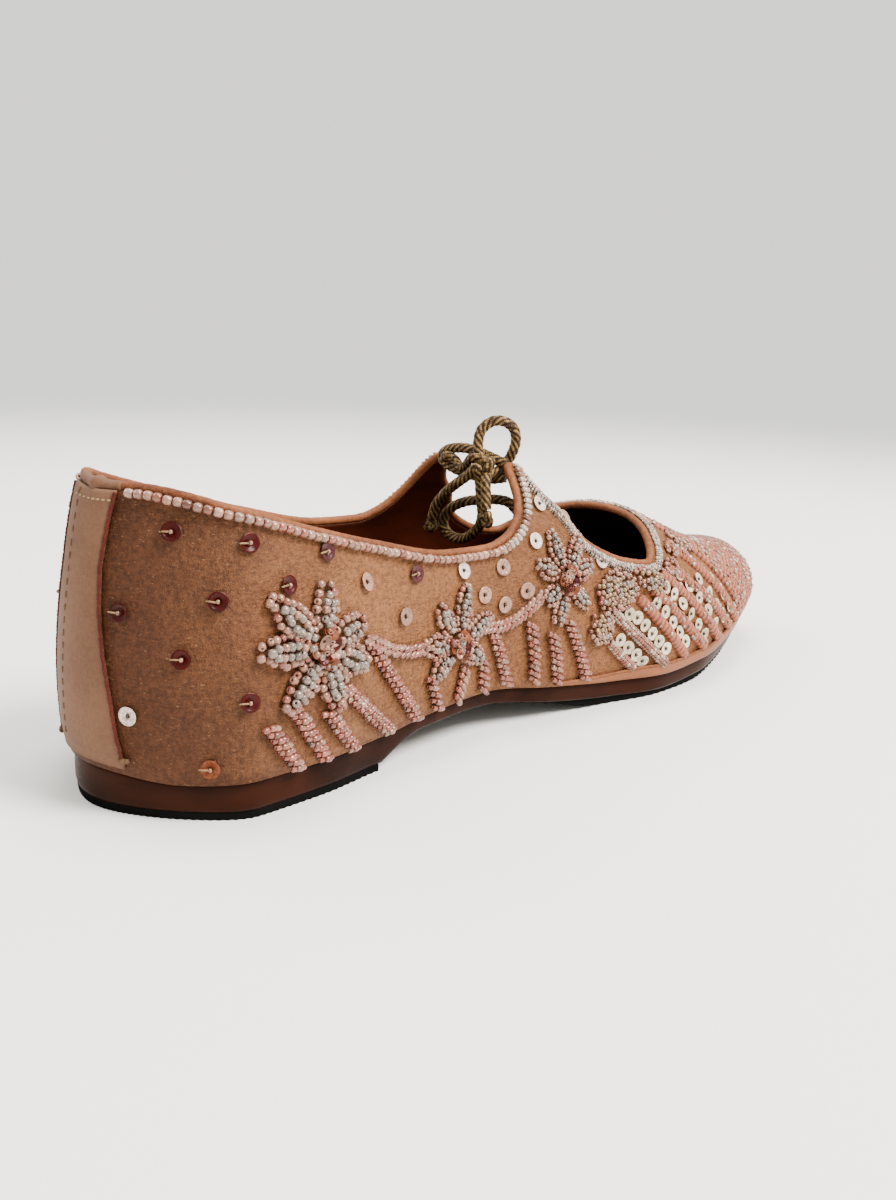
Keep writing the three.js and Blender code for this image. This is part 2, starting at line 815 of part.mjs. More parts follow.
// The bar runs from the near ear round the far ear and back, x y z from the heel

const tieBarPoints = [
  [117.4, -9.6, 64.4], [116.2, -5.2, 65.8], [115.2, 0.0, 67.0], [114.8, 5.0, 66.8],
  [114.6, 9.0, 65.4], [114.6, 9.4, 62.9], [114.8, 5.0, 61.2], [115.4, 0.0, 60.4],
  [116.4, -5.0, 59.9], [117.6, -9.8, 60.8],
];

const tieKnotCentre = [112.6, -6.6, 63.4];

// The bow: two loops and two ends that leave the knot

const upperLoopPoints = [
  [112.4, -5.4, 66.6], [112.6, -4.6, 69.4], [113.8, -4.4, 72.6], [115.8, -6.0, 74.8],
  [118.0, -8.0, 75.0], [120.0, -9.6, 73.4], [120.9, -10.0, 70.6], [120.8, -9.4, 67.6],
  [120.0, -8.2, 64.6],
];

const lowerLoopPoints = [
  [111.8, -6.4, 60.2], [111.6, -7.2, 55.6], [112.0, -7.6, 51.6], [112.8, -6.0, 48.2],
  [113.6, -2.6, 45.2], [114.2, 1.6, 43.3], [114.6, 6.0, 43.4], [114.8, 8.8, 45.6],
  [115.2, 8.4, 48.8], [115.8, 6.0, 51.2], [116.4, 2.0, 53.0], [117.0, -2.6, 54.0],
  [117.4, -7.6, 54.8], [117.6, -11.6, 54.6], [118.0, -14.2, 52.6],
];

const leftEndPoints = [
  [111.0, -3.2, 61.2], [111.0, 0.6, 58.6], [111.4, 5.0, 55.4], [111.8, 8.6, 51.8], [112.0, 10.4, 47.8],
];

const rightEndPoints = [
  [110.6, -9.6, 60.4], [109.8, -10.6, 57.0], [109.4, -11.2, 53.6],
];

const leftEndKnot = [112.2, 10.8, 45.2];
const rightEndKnot = [109.2, -11.6, 51.0];

function ball([x, y, z], radius) {
  const geometry = new THREE.SphereGeometry(radius, knotSegments, knotBands);
  geometry.translate(x, y, z);
  return geometry;
}

// Finishes of the real materials

function finish(color, roughness, metalness = 0) {
  return new THREE.MeshStandardMaterial({ color, roughness, metalness });
}

const satin = finish(0xc98f6d, 0.55);
const stayCloth = finish(0xb98468, 0.6);
const bindingSilk = finish(0xe08a62, 0.6);
const beads = finish(0xd8c4bc, 0.3);
const brownLeather = finish(0x4a1e12, 0.3);
const blackRubber = finish(0x151313, 0.85);
const lining = finish(0x5a2015, 0.65);
const braid = finish(0x6b5334, 0.55, 0.3);

const shoe = new THREE.Group();
const object = new THREE.Group();
const cords = new THREE.Group();
shoe.add(object, cords);

function addPiece(group, name, geometry, material) {
  const mesh = new THREE.Mesh(geometry, material);
  mesh.name = name;
  group.add(mesh);
}

const upper = buildUpper();
addPiece(object, 'upper', upper.geometry, satin);
addPiece(object, 'heel_stay', buildStay(), stayCloth);
addPiece(object, 'toe_band', buildBand(), satin);
addPiece(object, 'topline_binding', buildBinding(upper.rimLoop), bindingSilk);
addPiece(object, 'outsole', buildOutsole(), brownLeather);
addPiece(object, 'heel_tread', buildHeelTread(), blackRubber);
addPiece(object, 'forefoot_tread', buildForefootTread(), blackRubber);
addPiece(object, 'insole', buildInsole(), lining);

for (const side of SIDES) {
  const label = side < 0 ? 'medial' : 'lateral';
  for (const flower of flowerTable) {
    const { centre, outline } = flowerOutline(flower);
    const geometry = motif(side, centre, outline, flowerRise, petalRise, petalRise * petalEdge);
    addPiece(object, `${flower.name}_${label}`, geometry, beads);
  }
  for (const cluster of clusterTable) {
    const { centre, outline } = clusterOutline(cluster);
    const shoulder = clusterRise * clusterShoulder;
    const geometry = motif(side, centre, outline, clusterRise, shoulder, clusterRise * clusterEdge);
    addPiece(object, `${cluster.name}_${label}`, geometry, beads);
  }
}

const tieRadius = tieDiameter / 2;
addPiece(object, 'tie_bar', tube(tieBarPoints, tieRadius, tieSides, 18), braid);
addPiece(cords, 'tie_knot', ball(tieKnotCentre, tieKnotRadius), braid);
addPiece(cords, 'tie_loop_upper', tube(upperLoopPoints, tieRadius, tieSides, 12), braid);
addPiece(cords, 'tie_loop_lower', tube(lowerLoopPoints, tieRadius, tieSides, 20), braid);
addPiece(cords, 'tie_end_left', tube(leftEndPoints, tieRadius, tieSides, 6), braid);
addPiece(cords, 'tie_end_right', tube(rightEndPoints, tieRadius, tieSides, 4), braid);
addPiece(cords, 'tie_end_knot_left', ball(leftEndKnot, tieEndKnotRadius), braid);
addPiece(cords, 'tie_end_knot_right', ball(rightEndKnot, tieEndKnotRadius), braid);

// The shoe is centred over the origin and stands on Z = 0

const box = new THREE.Box3().setFromObject(object);
shoe.position.set(-(box.min.x + box.max.x) / 2, -(box.min.y + box.max.y) / 2, -box.min.z);

export default shoe;
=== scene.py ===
# %% [markdown]
# This lesson dresses a left bridal shoe: a flat slip on of peach satin with bead flowers.
# It has two ears tied across the instep with a braided cord, and a ribbed beaded toe.
# The solids of the shoe are loaded first as a fixed frame, and every visible piece is
# then built in the same place as its solid. Lengths are in millimetres, counted from the
# back of the heel, and turn into metres of the frame as the last step of each piece.

# %% Load the frame
import math

import bmesh
import bpy
import numpy as np
from mathutils import Matrix, Vector


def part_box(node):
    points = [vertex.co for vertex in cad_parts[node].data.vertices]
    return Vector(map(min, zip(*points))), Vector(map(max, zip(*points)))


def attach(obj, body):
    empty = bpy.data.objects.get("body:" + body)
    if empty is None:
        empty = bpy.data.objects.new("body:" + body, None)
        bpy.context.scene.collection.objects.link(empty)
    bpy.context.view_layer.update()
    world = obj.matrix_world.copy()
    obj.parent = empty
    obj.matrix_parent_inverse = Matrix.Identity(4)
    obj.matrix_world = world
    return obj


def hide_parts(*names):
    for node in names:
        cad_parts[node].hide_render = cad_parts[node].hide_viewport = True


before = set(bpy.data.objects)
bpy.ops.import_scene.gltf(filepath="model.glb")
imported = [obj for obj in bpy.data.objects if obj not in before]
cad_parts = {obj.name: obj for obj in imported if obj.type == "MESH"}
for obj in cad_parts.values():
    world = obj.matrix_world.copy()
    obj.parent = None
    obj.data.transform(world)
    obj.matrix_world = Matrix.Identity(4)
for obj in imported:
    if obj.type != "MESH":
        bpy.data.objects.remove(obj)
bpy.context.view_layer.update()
MM = 0.001
print("nodes in the frame:", len(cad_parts))

# %% [markdown]
# The frame has its origin under the middle of the shoe, while a shoemaker measures from
# the heel. One shift joins the two. It is read from the sole, whose back lies a known
# inset in front of the heel point.

# %% Shoe sizes and the shift to the frame
shoe_length = 239.0
ball_half_width = 36.0
heel_seat_height = 8.6
instep_height = 60.0
collar_height = 68.6
heel_round_length = 22.4
toe_round_length = 49.8
wall = 1.8
sole_inset = 0.8
sideways_shift = -1.192

shift = np.array([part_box("outsole")[0][0] / MM - sole_inset, sideways_shift, 0.0])


def to_frame(points):
    """Millimetres from the heel to metres of the frame."""
    return (np.asarray(points, float) + shift) * MM


print("heel point in the frame, mm:", np.round(shift, 2))

# %% [markdown]
# The camera stands low behind the heel, on the inner side of the foot, as a person
# does who sets a shoe on a table and crouches beside it. It is placed first, because
# the cords are judged by what it sees. A focal length in pixels of an 896 by 1200
# picture is the plainest way to copy a real camera, and one line turns it into a lens.

# %% Camera
picture_height = 1200
focal_pixels = 1415.55
camera_turn = math.radians(46.07)
camera_pitch = math.radians(14.45)
camera_roll = math.radians(2.14)
camera_place = (-149.58, -248.59, 120.27)
sensor_height = 36.0


def camera_matrix():
    level = Vector((math.sin(camera_turn), math.cos(camera_turn), 0))
    up = Vector((0, 0, 1))
    forward = level * math.cos(camera_pitch) - up * math.sin(camera_pitch)
    above = up * math.cos(camera_pitch) + level * math.sin(camera_pitch)
    right = Vector((math.cos(camera_turn), -math.sin(camera_turn), 0))
    rolled_right = right * math.cos(camera_roll) + above * math.sin(camera_roll)
    rolled_above = above * math.cos(camera_roll) - right * math.sin(camera_roll)
    matrix = Matrix((rolled_right, rolled_above, -forward)).transposed().to_4x4()
    matrix.translation = Vector(to_frame(camera_place))
    return matrix


camera_data = bpy.data.cameras.new("shoe_camera")
camera_data.sensor_fit = "VERTICAL"
camera_data.sensor_height = sensor_height
camera_data.lens = focal_pixels / picture_height * sensor_height
camera_data.clip_start = 0.01
camera = bpy.data.objects.new("shoe_camera", camera_data)
camera.matrix_world = camera_matrix()
bpy.context.scene.collection.objects.link(camera)
bpy.context.scene.camera = camera
print("lens in mm:", round(camera_data.lens, 2))

# %% [markdown]
# A material in Blender is a small net of nodes. The nodes are made and joined by a few
# short helpers, so that a recipe below reads as a list of its steps. A group is a recipe
# with named inputs that several materials share.

# %% Helpers for node trees
def add_node(tree, kind, **settings):
    node = tree.nodes.new(kind)
    for key, value in settings.items():
        setattr(node, key, value)
    return node


def math_node(tree, operation, first, second=None, third=None):
    node = add_node(tree, "ShaderNodeMath", operation=operation)
    for number, value in enumerate((first, second, third)):
        if value is None:
            continue
        if isinstance(value, (int, float)):
            node.inputs[number].default_value = value
        else:
            tree.links.new(value, node.inputs[number])
    return node.outputs[0]


def new_group(name, inputs, outputs):
    tree = bpy.data.node_groups.new(name, "ShaderNodeTree")
    for label, kind, value in inputs:
        socket = tree.interface.new_socket(label, in_out="INPUT", socket_type=kind)
        if value is not None:
            socket.default_value = value
    for label, kind in outputs:
        tree.interface.new_socket(label, in_out="OUTPUT", socket_type=kind)
    return tree, tree.nodes.new("NodeGroupInput"), tree.nodes.new("NodeGroupOutput")


def scaled_vector(tree, vector, scales):
    node = add_node(tree, "ShaderNodeMapping")
    node.inputs["Scale"].default_value = scales
    tree.links.new(vector, node.inputs["Vector"])
    return node.outputs[0]


def noise(tree, vector, scale, detail=3.0, roughness=0.5):
    node = add_node(tree, "ShaderNodeTexNoise")
    node.inputs["Scale"].default_value = scale
    node.inputs["Detail"].default_value = detail
    node.inputs["Roughness"].default_value = roughness
    tree.links.new(vector, node.inputs["Vector"])
    return node.outputs["Fac"]


print("node helpers ready")

# %% [markdown]
# Satin is woven from fine threads that run along the shoe, with slubs where a thread is
# thicker, and it crinkles when it is pulled over the last. Stretched noise gives each of
# the three, because a woven pattern would be far too regular. The group gives a height
# for bump; a tone for colour that darkens in the hollows of the same three, partly the
# weave's own tone and partly painted shade; and a mask of spots for painted glints.

# %% Shader group: cloth
FLOAT = "NodeSocketFloat"
VECTOR = "NodeSocketVector"


def build_cloth_group():
    tree, entry, leave = new_group(
        "Cloth threads",
        [("Vector", VECTOR, None), ("Slub", FLOAT, 0.6), ("Threads", FLOAT, 0.4)],
        [("Height", FLOAT), ("Shade", FLOAT), ("Shine and painted glint", FLOAT)],
    )
    place = entry.outputs["Vector"]
    slub = noise(tree, scaled_vector(tree, place, (620, 620, 1700)), 1.0, 4.0, 0.6)
    crinkle = noise(tree, scaled_vector(tree, place, (1100, 1100, 800)), 1.0, 3.0, 0.55)
    thread = noise(tree, scaled_vector(tree, place, (3200, 3200, 3600)), 1.0, 1.0)
    glint = noise(tree, scaled_vector(tree, place, (900, 900, 2600)), 1.0, 2.0, 0.7)
    slub_part = math_node(tree, "MULTIPLY", slub, entry.outputs["Slub"])
    thread_part = math_node(tree, "MULTIPLY", thread, entry.outputs["Threads"])
    both = math_node(tree, "ADD", slub_part, thread_part)
    height = math_node(tree, "MULTIPLY_ADD", crinkle, 0.5, both)
    tree.links.new(height, leave.inputs["Height"])
    # Darker in the hollows of slubs, threads and crinkles: partly the weave's own tone, partly painted
    # shade.
    fine = math_node(tree, "MULTIPLY_ADD", thread, 0.25, math_node(tree, "MULTIPLY", slub, 0.35))
    grain = math_node(tree, "MULTIPLY_ADD", crinkle, 0.4, fine)
    tree.links.new(grain, leave.inputs["Shade"])
    # A mask of spots that get a painted glint in the colour and a lower roughness.
    sharp = math_node(tree, "SUBTRACT", glint, 0.64)
    bright = math_node(tree, "MULTIPLY", sharp, 12.0)
    shine_and_painted_glint_mask = math_node(tree, "MINIMUM", math_node(tree, "MAXIMUM", bright, 0.0), 1.0)
    tree.links.new(shine_and_painted_glint_mask, leave.inputs["Shine and painted glint"])
    return tree


cloth_group = build_cloth_group()
print("group:", cloth_group.name)

# %% [markdown]
# Every real surface is a little uneven from ageing and from hands. One soft noise does
# for all of them, and each material sets the size of its own blotches. On the satin the
# same noise also paints soft patches of shade.

# %% Shader group: blotches
def build_blotch_group():
    tree, entry, leave = new_group(
        "Blotches",
        [("Vector", VECTOR, None), ("Size", FLOAT, 40.0)],
        [("Mask", FLOAT)],
    )
    node = add_node(tree, "ShaderNodeTexNoise")
    node.inputs["Detail"].default_value = 4.0
    tree.links.new(entry.outputs["Vector"], node.inputs["Vector"])
    tree.links.new(entry.outputs["Size"], node.inputs["Scale"])
    tree.links.new(node.outputs["Fac"], leave.inputs["Mask"])
    return tree


blotch_group = build_blotch_group()
print("group:", blotch_group.name)

# %% [markdown]
# Each material starts from the same shader. The helpers set its constants, read a place
# on the object, use a group, turn a value into colours, and add bump. The pattern goes by
# the place on the object, so that it stays with the shoe when the shoe moves.

# %% Helpers for materials
def new_material(name, roughness, **constants):
    material = bpy.data.materials.new(name)
    material.use_nodes = True
    tree = material.node_tree
    shader = tree.nodes["Principled BSDF"]
    shader.inputs["Roughness"].default_value = roughness
    for key, value in constants.items():
        shader.inputs[key.replace("_", " ")].default_value = value
    return material, tree, shader


def object_place(tree):
    return add_node(tree, "ShaderNodeTexCoord").outputs["Object"]


def use_group(tree, group, **values):
    node = add_node(tree, "ShaderNodeGroup", node_tree=group)
    for key, value in values.items():
        if isinstance(value, (int, float)):
            node.inputs[key].default_value = value
        else:
            tree.links.new(value, node.inputs[key])
    return node


print("groups can be used")

# %% [markdown]
# Most patterns end in the same three steps: a value picks a colour between stops, two
# colours are mixed, and a height becomes a bump in the shading.

# %% Helpers for colours and bump
def ramp(tree, factor, stops):
    node = add_node(tree, "ShaderNodeValToRGB")
    elements = node.color_ramp.elements
    while len(elements) < len(stops):
        elements.new(0.5)
    for element, (place, color) in zip(elements, stops):
        element.position = place
        element.color = (*color, 1.0)
    tree.links.new(factor, node.inputs["Fac"])
    return node.outputs["Color"]


def mix_colors(tree, factor, first, second, blend="MIX"):
    node = add_node(tree, "ShaderNodeMix", data_type="RGBA", blend_type=blend)
    for socket, value in ((node.inputs[0], factor), (node.inputs[6], first), (node.inputs[7], second)):
        if isinstance(value, (int, float)):
            socket.default_value = value
        elif isinstance(value, tuple):
            socket.default_value = (*value, 1.0)
        else:
            tree.links.new(value, socket)
    return node.outputs[2]


def bump(tree, shader, height, strength, distance):
    node = add_node(tree, "ShaderNodeBump")
    node.inputs["Strength"].default_value = strength
    node.inputs["Distance"].default_value = distance
    tree.links.new(height, node.inputs["Height"])
    tree.links.new(node.outputs["Normal"], shader.inputs["Normal"])
    return node


print("material helpers ready")

# %% [markdown]
# The satin is peach tan. Its colour follows a ramp along the shoe that paints the light:
# browner and duller in painted shade toward the heel, warmer and more golden where the
# light falls in the middle, and a little darker again toward the toe. The weave's tone,
# with painted shade in its hollows, varies it lightly, soft patches of painted shade lie
# over it, and a few painted glints stand for the shiny face of the weave.

# %% Material: satin
# The ramp paints the light along the shoe: painted shade at the heel, the lit middle brightest, and a little
# painted shade toward the toe.
heel_satin_in_painted_shade = (0.068, 0.0225, 0.0085)
middle_satin_in_painted_light = (0.200, 0.082, 0.032)
front_satin_in_painted_shade = (0.175, 0.070, 0.028)
# The colour of the painted glints.
satin_painted_glint_color = (0.36, 0.20, 0.095)


def build_satin():
    material, tree, shader = new_material(
        "peach_satin", 0.5, Specular_IOR_Level=0.14
    )
    place = object_place(tree)
    axes = add_node(tree, "ShaderNodeSeparateXYZ")
    tree.links.new(place, axes.inputs[0])
    start = float(to_frame((0, 0, 0))[0])
    from_heel = math_node(tree, "SUBTRACT", axes.outputs["X"], start)
    along = math_node(tree, "DIVIDE", from_heel, shoe_length * MM)
    blotch = use_group(tree, blotch_group, Vector=place, Size=26.0)
    wander = math_node(tree, "MULTIPLY_ADD", blotch.outputs["Mask"], 0.16, -0.08)
    factor = math_node(tree, "ADD", along, wander)
    stops = [(0.02, heel_satin_in_painted_shade), (0.26, middle_satin_in_painted_light), (0.62, front_satin_in_painted_shade), (1.0, front_satin_in_painted_shade)]
    base = ramp(tree, factor, stops)
    cloth = use_group(tree, cloth_group, Vector=place, Slub=0.8, Threads=0.5)
    # The weave's tone, darker in the hollows of slubs, threads and crinkles: partly its own tone, partly
    # painted shade.
    shade = ramp(tree, cloth.outputs["Shade"], [(0.42, (0.62, 0.58, 0.56)), (0.57, (1.16, 1.14, 1.12))])
    # Soft random patches of painted shade, darker and lighter, over the satin.
    painted_patchy_shade = ramp(tree, blotch.outputs["Mask"], [(0.36, (0.78, 0.76, 0.74)), (0.64, (1.12, 1.10, 1.06))])
    shaded = mix_colors(tree, 1.0, mix_colors(tree, 1.0, base, shade, "MULTIPLY"), painted_patchy_shade, "MULTIPLY")
    # Painted glints: a brighter colour mixed in where the glint mask is high.
    painted_glint_share = math_node(tree, "MULTIPLY", cloth.outputs["Shine and painted glint"], 0.35)
    color = mix_colors(tree, painted_glint_share, shaded, satin_painted_glint_color)
    tree.links.new(color, shader.inputs["Base Color"])
    rough = math_node(tree, "MULTIPLY_ADD", cloth.outputs["Shine and painted glint"], -0.2, 0.52)
    tree.links.new(rough, shader.inputs["Roughness"])
    bump(tree, shader, cloth.outputs["Height"], 0.8, 0.0008)
    return material


satin = build_satin()
print("material:", satin.name)

# %% [markdown]
# The form of the shoe is a last: a foot shaped block given by a short table of sections.
# Each section has a half width on both sides, a lower edge, a top line and a roundness.
# A smooth curve through each column gives the section at any place along the shoe, and
# one formula turns a place and a share of the height into a point of the surface.
# Every piece of the upper below is laid on this one surface, so all of them fit.

# %% Last: sections and topline
last_columns = ("at", "medial", "lateral", "edge", "top", "shift", "square", "full")
last_rows = (
    (0.00, 0.550, 0.550, 1.16, 1.533, 0.000, 2.60, 0.042),
    (0.04, 0.690, 0.690, 0.96, 1.533, 0.000, 2.62, 0.042),
    (0.10, 0.833, 0.833, 1.01, 1.527, 0.000, 2.60, 0.042),
    (0.17, 0.822, 0.831, 1.00, 1.467, 0.000, 2.50, 0.042),
    (0.25, 0.750, 0.814, 1.02, 1.400, 0.000, 2.40, 0.042),
    (0.33, 0.703, 0.806, 1.20, 1.305, 0.000, 2.27, 0.042),
    (0.41, 0.672, 0.822, 1.28, 1.223, -0.014, 2.20, 0.056),
    (0.50, 0.775, 0.875, 1.03, 1.130, -0.028, 2.20, 0.056),
    (0.59, 0.861, 0.958, 0.79, 0.982, -0.042, 2.12, 0.042),
    (0.67, 0.961, 1.028, 0.72, 0.862, -0.042, 2.10, 0.033),
    (0.74, 0.947, 1.014, 0.83, 0.738, -0.028, 2.12, 0.033),
    (0.82, 0.825, 0.897, 1.06, 0.603, 0.000, 2.20, 0.033),
    (0.90, 0.689, 0.728, 1.28, 0.507, 0.000, 2.40, 0.028),
    (1.00, 0.617, 0.617, 1.56, 0.448, 0.000, 2.60, 0.022),
)
rim_rows = (
    (-0.017, 0.948), (0.025, 1.000), (0.084, 0.945), (0.167, 0.853), (0.251, 0.767),
    (0.356, 0.683), (0.415, 0.673), (0.446, 0.701), (0.470, 0.767), (0.480, 0.829),
    (0.485, 0.893), (0.490, 0.937), (0.496, 0.933), (0.505, 0.872), (0.515, 0.825),
    (0.536, 0.757), (0.556, 0.656), (0.584, 0.593), (0.617, 0.547), (0.661, 0.523),
    (0.703, 0.627), (0.728, 0.700), (1.000, 1.224),
)
print("sections and topline given")

# %% [markdown]
# The tables hold shares of a few sizes, so one size can change and the shape follows. The
# curve between two rows is a cubic that never swings past them, as a batten would lie.

# %% Last: curves through the sections
def curve_through(xs, ys):
    """A smooth curve through the points, with no overshoot between them."""
    xs, ys = np.asarray(xs, float), np.asarray(ys, float)
    width = np.diff(xs)
    slope = np.diff(ys) / width
    tangent = np.zeros(len(xs))
    tangent[0], tangent[-1] = slope[0], slope[-1]
    for i in range(1, len(xs) - 1):
        if slope[i - 1] * slope[i] > 0:
            before = 2 * width[i] + width[i - 1]
            after = width[i] + 2 * width[i - 1]
            tangent[i] = (before + after) / (before / slope[i - 1] + after / slope[i])

    def curve(x):
        x = np.asarray(x, float)
        i = np.clip(np.searchsorted(xs, x, side="left") - 1, 0, len(xs) - 2)
        k = np.clip((x - xs[i]) / width[i], 0, 1)
        start = (2 * k**3 - 3 * k**2 + 1) * ys[i] + (k**3 - 2 * k**2 + k) * width[i] * tangent[i]
        end = (3 * k**2 - 2 * k**3) * ys[i + 1] + (k**3 - k**2) * width[i] * tangent[i + 1]
        return start + end

    return curve


def column(key, scale):
    places = np.array([row[0] for row in last_rows])
    values = np.array([row[last_columns.index(key)] for row in last_rows])
    return curve_through(places * shoe_length, values * scale)


medial_width = column("medial", ball_half_width)
lateral_width = column("lateral", ball_half_width)
edge_height = column("edge", heel_seat_height)
top_height = column("top", instep_height)
top_shift = column("shift", ball_half_width)
section_square = column("square", 1.0)
section_full = column("full", ball_half_width)
rim_at, rim_high = np.array(rim_rows).T
rim_height = curve_through(rim_at * shoe_length, rim_high * collar_height)
print("ball width in mm:", round(float(medial_width(160) + lateral_width(160)), 1))

# %% [markdown]
# A place on the last is given by a side, a place along it and a share of the height. The
# share runs from the lower edge to the line along the top, as an ellipse with its own
# roundness. Signed turns count the places all the way round, close together at the toe
# and the heel, where the outline turns fast.

# %% Last: the surface
heel_roundness = 2.05
toe_roundness = 2.04
top_line_start = 23.2
top_line_end = shoe_length - 20.3
top_line_softness = 6.0
full_peak = 6.75
height_halvings = 26
rim_halvings = 22


def half_width(side, x):
    plain = np.where(side < 0, medial_width(x), lateral_width(x))
    heel = np.clip(1 - x / heel_round_length, 0, 1)
    toe = np.clip(1 - (shoe_length - x) / toe_round_length, 0, 1)
    heel_share = np.maximum(1 - heel**heel_roundness, 0) ** (1 / heel_roundness)
    toe_share = np.maximum(1 - toe**toe_roundness, 0) ** (1 / toe_roundness)
    return plain * heel_share * toe_share


def top_line_x(x):
    above = (x - top_line_start) / top_line_softness
    lifted = top_line_start + top_line_softness * np.log1p(np.exp(above))
    below = (top_line_end - lifted) / top_line_softness
    return top_line_end - top_line_softness * np.log1p(np.exp(below))


def last_point(side, x, rise):
    """A point of the last, from a side, a place along it and a share of the height."""
    side, x, rise = np.broadcast_arrays(*(np.asarray(value, float) for value in (side, x, rise)))
    y = side * half_width(side, x)
    top_x = top_line_x(x)
    angle = np.clip(rise, 0, 1) * math.pi / 2
    power = 2 / section_square(x)
    inward = 1 - np.maximum(np.cos(angle), 0) ** power
    upward = np.maximum(np.sin(angle), 0) ** power
    along_x = top_x - x
    along_y = top_shift(top_x) - y
    reach = np.hypot(along_x, along_y) + 1e-9
    full = section_full(x) * full_peak * upward * (1 - upward) ** 2
    low = edge_height(x)
    return np.stack([
        x + along_x * inward - along_x / reach * full,
        y + along_y * inward - along_y / reach * full,
        low + (top_height(top_x) - low) * upward,
    ], axis=-1)


print("points of the last ready")

# %% [markdown]
# A turn runs from 0 at the heel to 1 at the toe, negative on the inner side. Steps of a
# turn are short at both ends, so a normal can be worked out there as well.

# %% Last: turns round the shoe
def x_of_turn(turn):
    return shoe_length * (1 - np.cos(math.pi * turn)) / 2


def turn_of_x(x):
    return np.arccos(np.clip(1 - 2 * np.asarray(x, float) / shoe_length, -1, 1)) / math.pi


def around_point(signed_turn, rise):
    wrapped = np.where(np.abs(signed_turn) > 1, signed_turn - 2 * np.sign(signed_turn), signed_turn)
    return last_point(np.where(wrapped < 0, -1.0, 1.0), x_of_turn(np.abs(wrapped)), rise)


def unit(vectors):
    return vectors / (np.linalg.norm(vectors, axis=-1, keepdims=True) + 1e-12)


def surface(side, x, rise, step=0.004):
    """Points of the last with their outward normals."""
    turn = np.asarray(side, float) * turn_of_x(x)
    rise = np.asarray(rise, float)
    point = around_point(turn, rise)
    along = around_point(turn + step, rise) - around_point(turn - step, rise)
    up = around_point(turn, np.minimum(rise + step, 1)) - around_point(turn, np.maximum(rise - step, 0))
    normal = unit(np.cross(along, up))
    outward = point - np.array([shoe_length / 2, 0, 0])
    outward[..., 2] = 0
    flip = np.sum(normal * outward, axis=-1, keepdims=True) < 0
    return point, np.where(flip, -normal, normal)


print("surface of the last ready")

# %% [markdown]
# Beads and seams are marked by their height, and the topline is the curve where the rim
# cuts the last. Neither has a formula that can be solved, so the share of the height is
# found by halving a range again and again until it is exact enough.

# %% Last: heights and the topline
def side_and_x(turns):
    """The side, -1 or 1, and the place along the shoe of signed turns."""
    return np.where(turns < 0, -1.0, 1.0), x_of_turn(np.abs(turns))


def rise_at_height(side, x, height):
    low = np.zeros(np.broadcast(side, x, height).shape)
    high = np.ones_like(low)
    for _ in range(height_halvings):
        middle = (low + high) / 2
        over = last_point(side, x, middle)[..., 2] > height
        high = np.where(over, middle, high)
        low = np.where(over, low, middle)
    return (low + high) / 2


def find_throat():
    xs = np.linspace(0.6 * shoe_length, 0.85 * shoe_length, 4000)
    return float(xs[np.argmax(rim_height(xs) >= top_height(xs))])


throat_x = find_throat()


def rise_at_rim(side, x):
    """The share of the height at which the topline cuts the last, or 1 in front of the throat."""
    shape = np.shape(x)
    x = np.asarray(x, float).ravel()
    side = np.broadcast_to(side, shape).ravel()
    shares = np.linspace(0, 1, 81)
    grid = last_point(side[:, None], x[:, None], shares[None, :])
    over = grid[..., 2] > rim_height(grid[..., 0])
    first = np.argmax(over, axis=1)
    found = over.any(axis=1) & (x < throat_x)
    low = shares[np.maximum(first - 1, 0)]
    high = shares[first]
    for _ in range(rim_halvings):
        middle = (low + high) / 2
        probe = last_point(side, x, middle)
        above = probe[..., 2] > rim_height(probe[..., 0])
        high = np.where(above, middle, high)
        low = np.where(above, low, middle)
    return np.where(found, (low + high) / 2, 1.0).reshape(shape)


print("throat at", round(throat_x, 1), "mm from the heel")

# %% [markdown]
# Most pieces are plain grids of points, so one helper lists the faces of a grid and
# another turns points and faces into an object in the frame. A third joins points that
# meet. The last one files a finished piece: what it rides on, and what it stands for.

# %% Helpers for meshes
def mesh_object(name, points, faces, materials, face_materials=None, uvs=None):
    mesh = bpy.data.meshes.new(name)
    mesh.from_pydata([tuple(p) for p in to_frame(points)], [], [tuple(int(i) for i in f) for f in faces])
    for material in materials:
        mesh.materials.append(material)
    if face_materials is not None:
        mesh.polygons.foreach_set("material_index", np.asarray(face_materials, dtype=np.int32))
    mesh.polygons.foreach_set("use_smooth", [True] * len(mesh.polygons))
    if uvs is not None:
        layer = mesh.uv_layers.new(name="UVMap")
        loops = np.zeros(len(mesh.loops), dtype=np.int32)
        mesh.loops.foreach_get("vertex_index", loops)
        layer.data.foreach_set("uv", np.asarray(uvs, float)[loops].ravel())
    mesh.update()
    item = bpy.data.objects.new(name, mesh)
    bpy.context.scene.collection.objects.link(item)
    return item


def file_piece(item, slot, *nodes):
    """Files a finished piece: the body that it rides on, and the solids that it stands for. The slot is not
    used.
    """
    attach(item, "root")
    if nodes:
        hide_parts(*nodes)


def grid_faces(rows, columns, closed=False, first=0, flipped=False):
    """Quads of a grid that is stored row by row."""
    faces = []
    for i in range(rows - 1):
        for j in range(columns if closed else columns - 1):
            following = (j + 1) % columns
            a, b = first + i * columns + j, first + i * columns + following
            c, d = first + (i + 1) * columns + following, first + (i + 1) * columns + j
            faces.append((a, d, c, b) if flipped else (a, b, c, d))
    return faces


def weld(item, distance, turn_outward):
    """Joins points that meet, and on request turns all faces outward."""
    work = bmesh.new()
    work.from_mesh(item.data)
    bmesh.ops.remove_doubles(work, verts=work.verts, dist=distance)
    if turn_outward:
        bmesh.ops.recalc_face_normals(work, faces=work.faces)
    work.to_mesh(item.data)
    work.free()


print("mesh helpers ready")

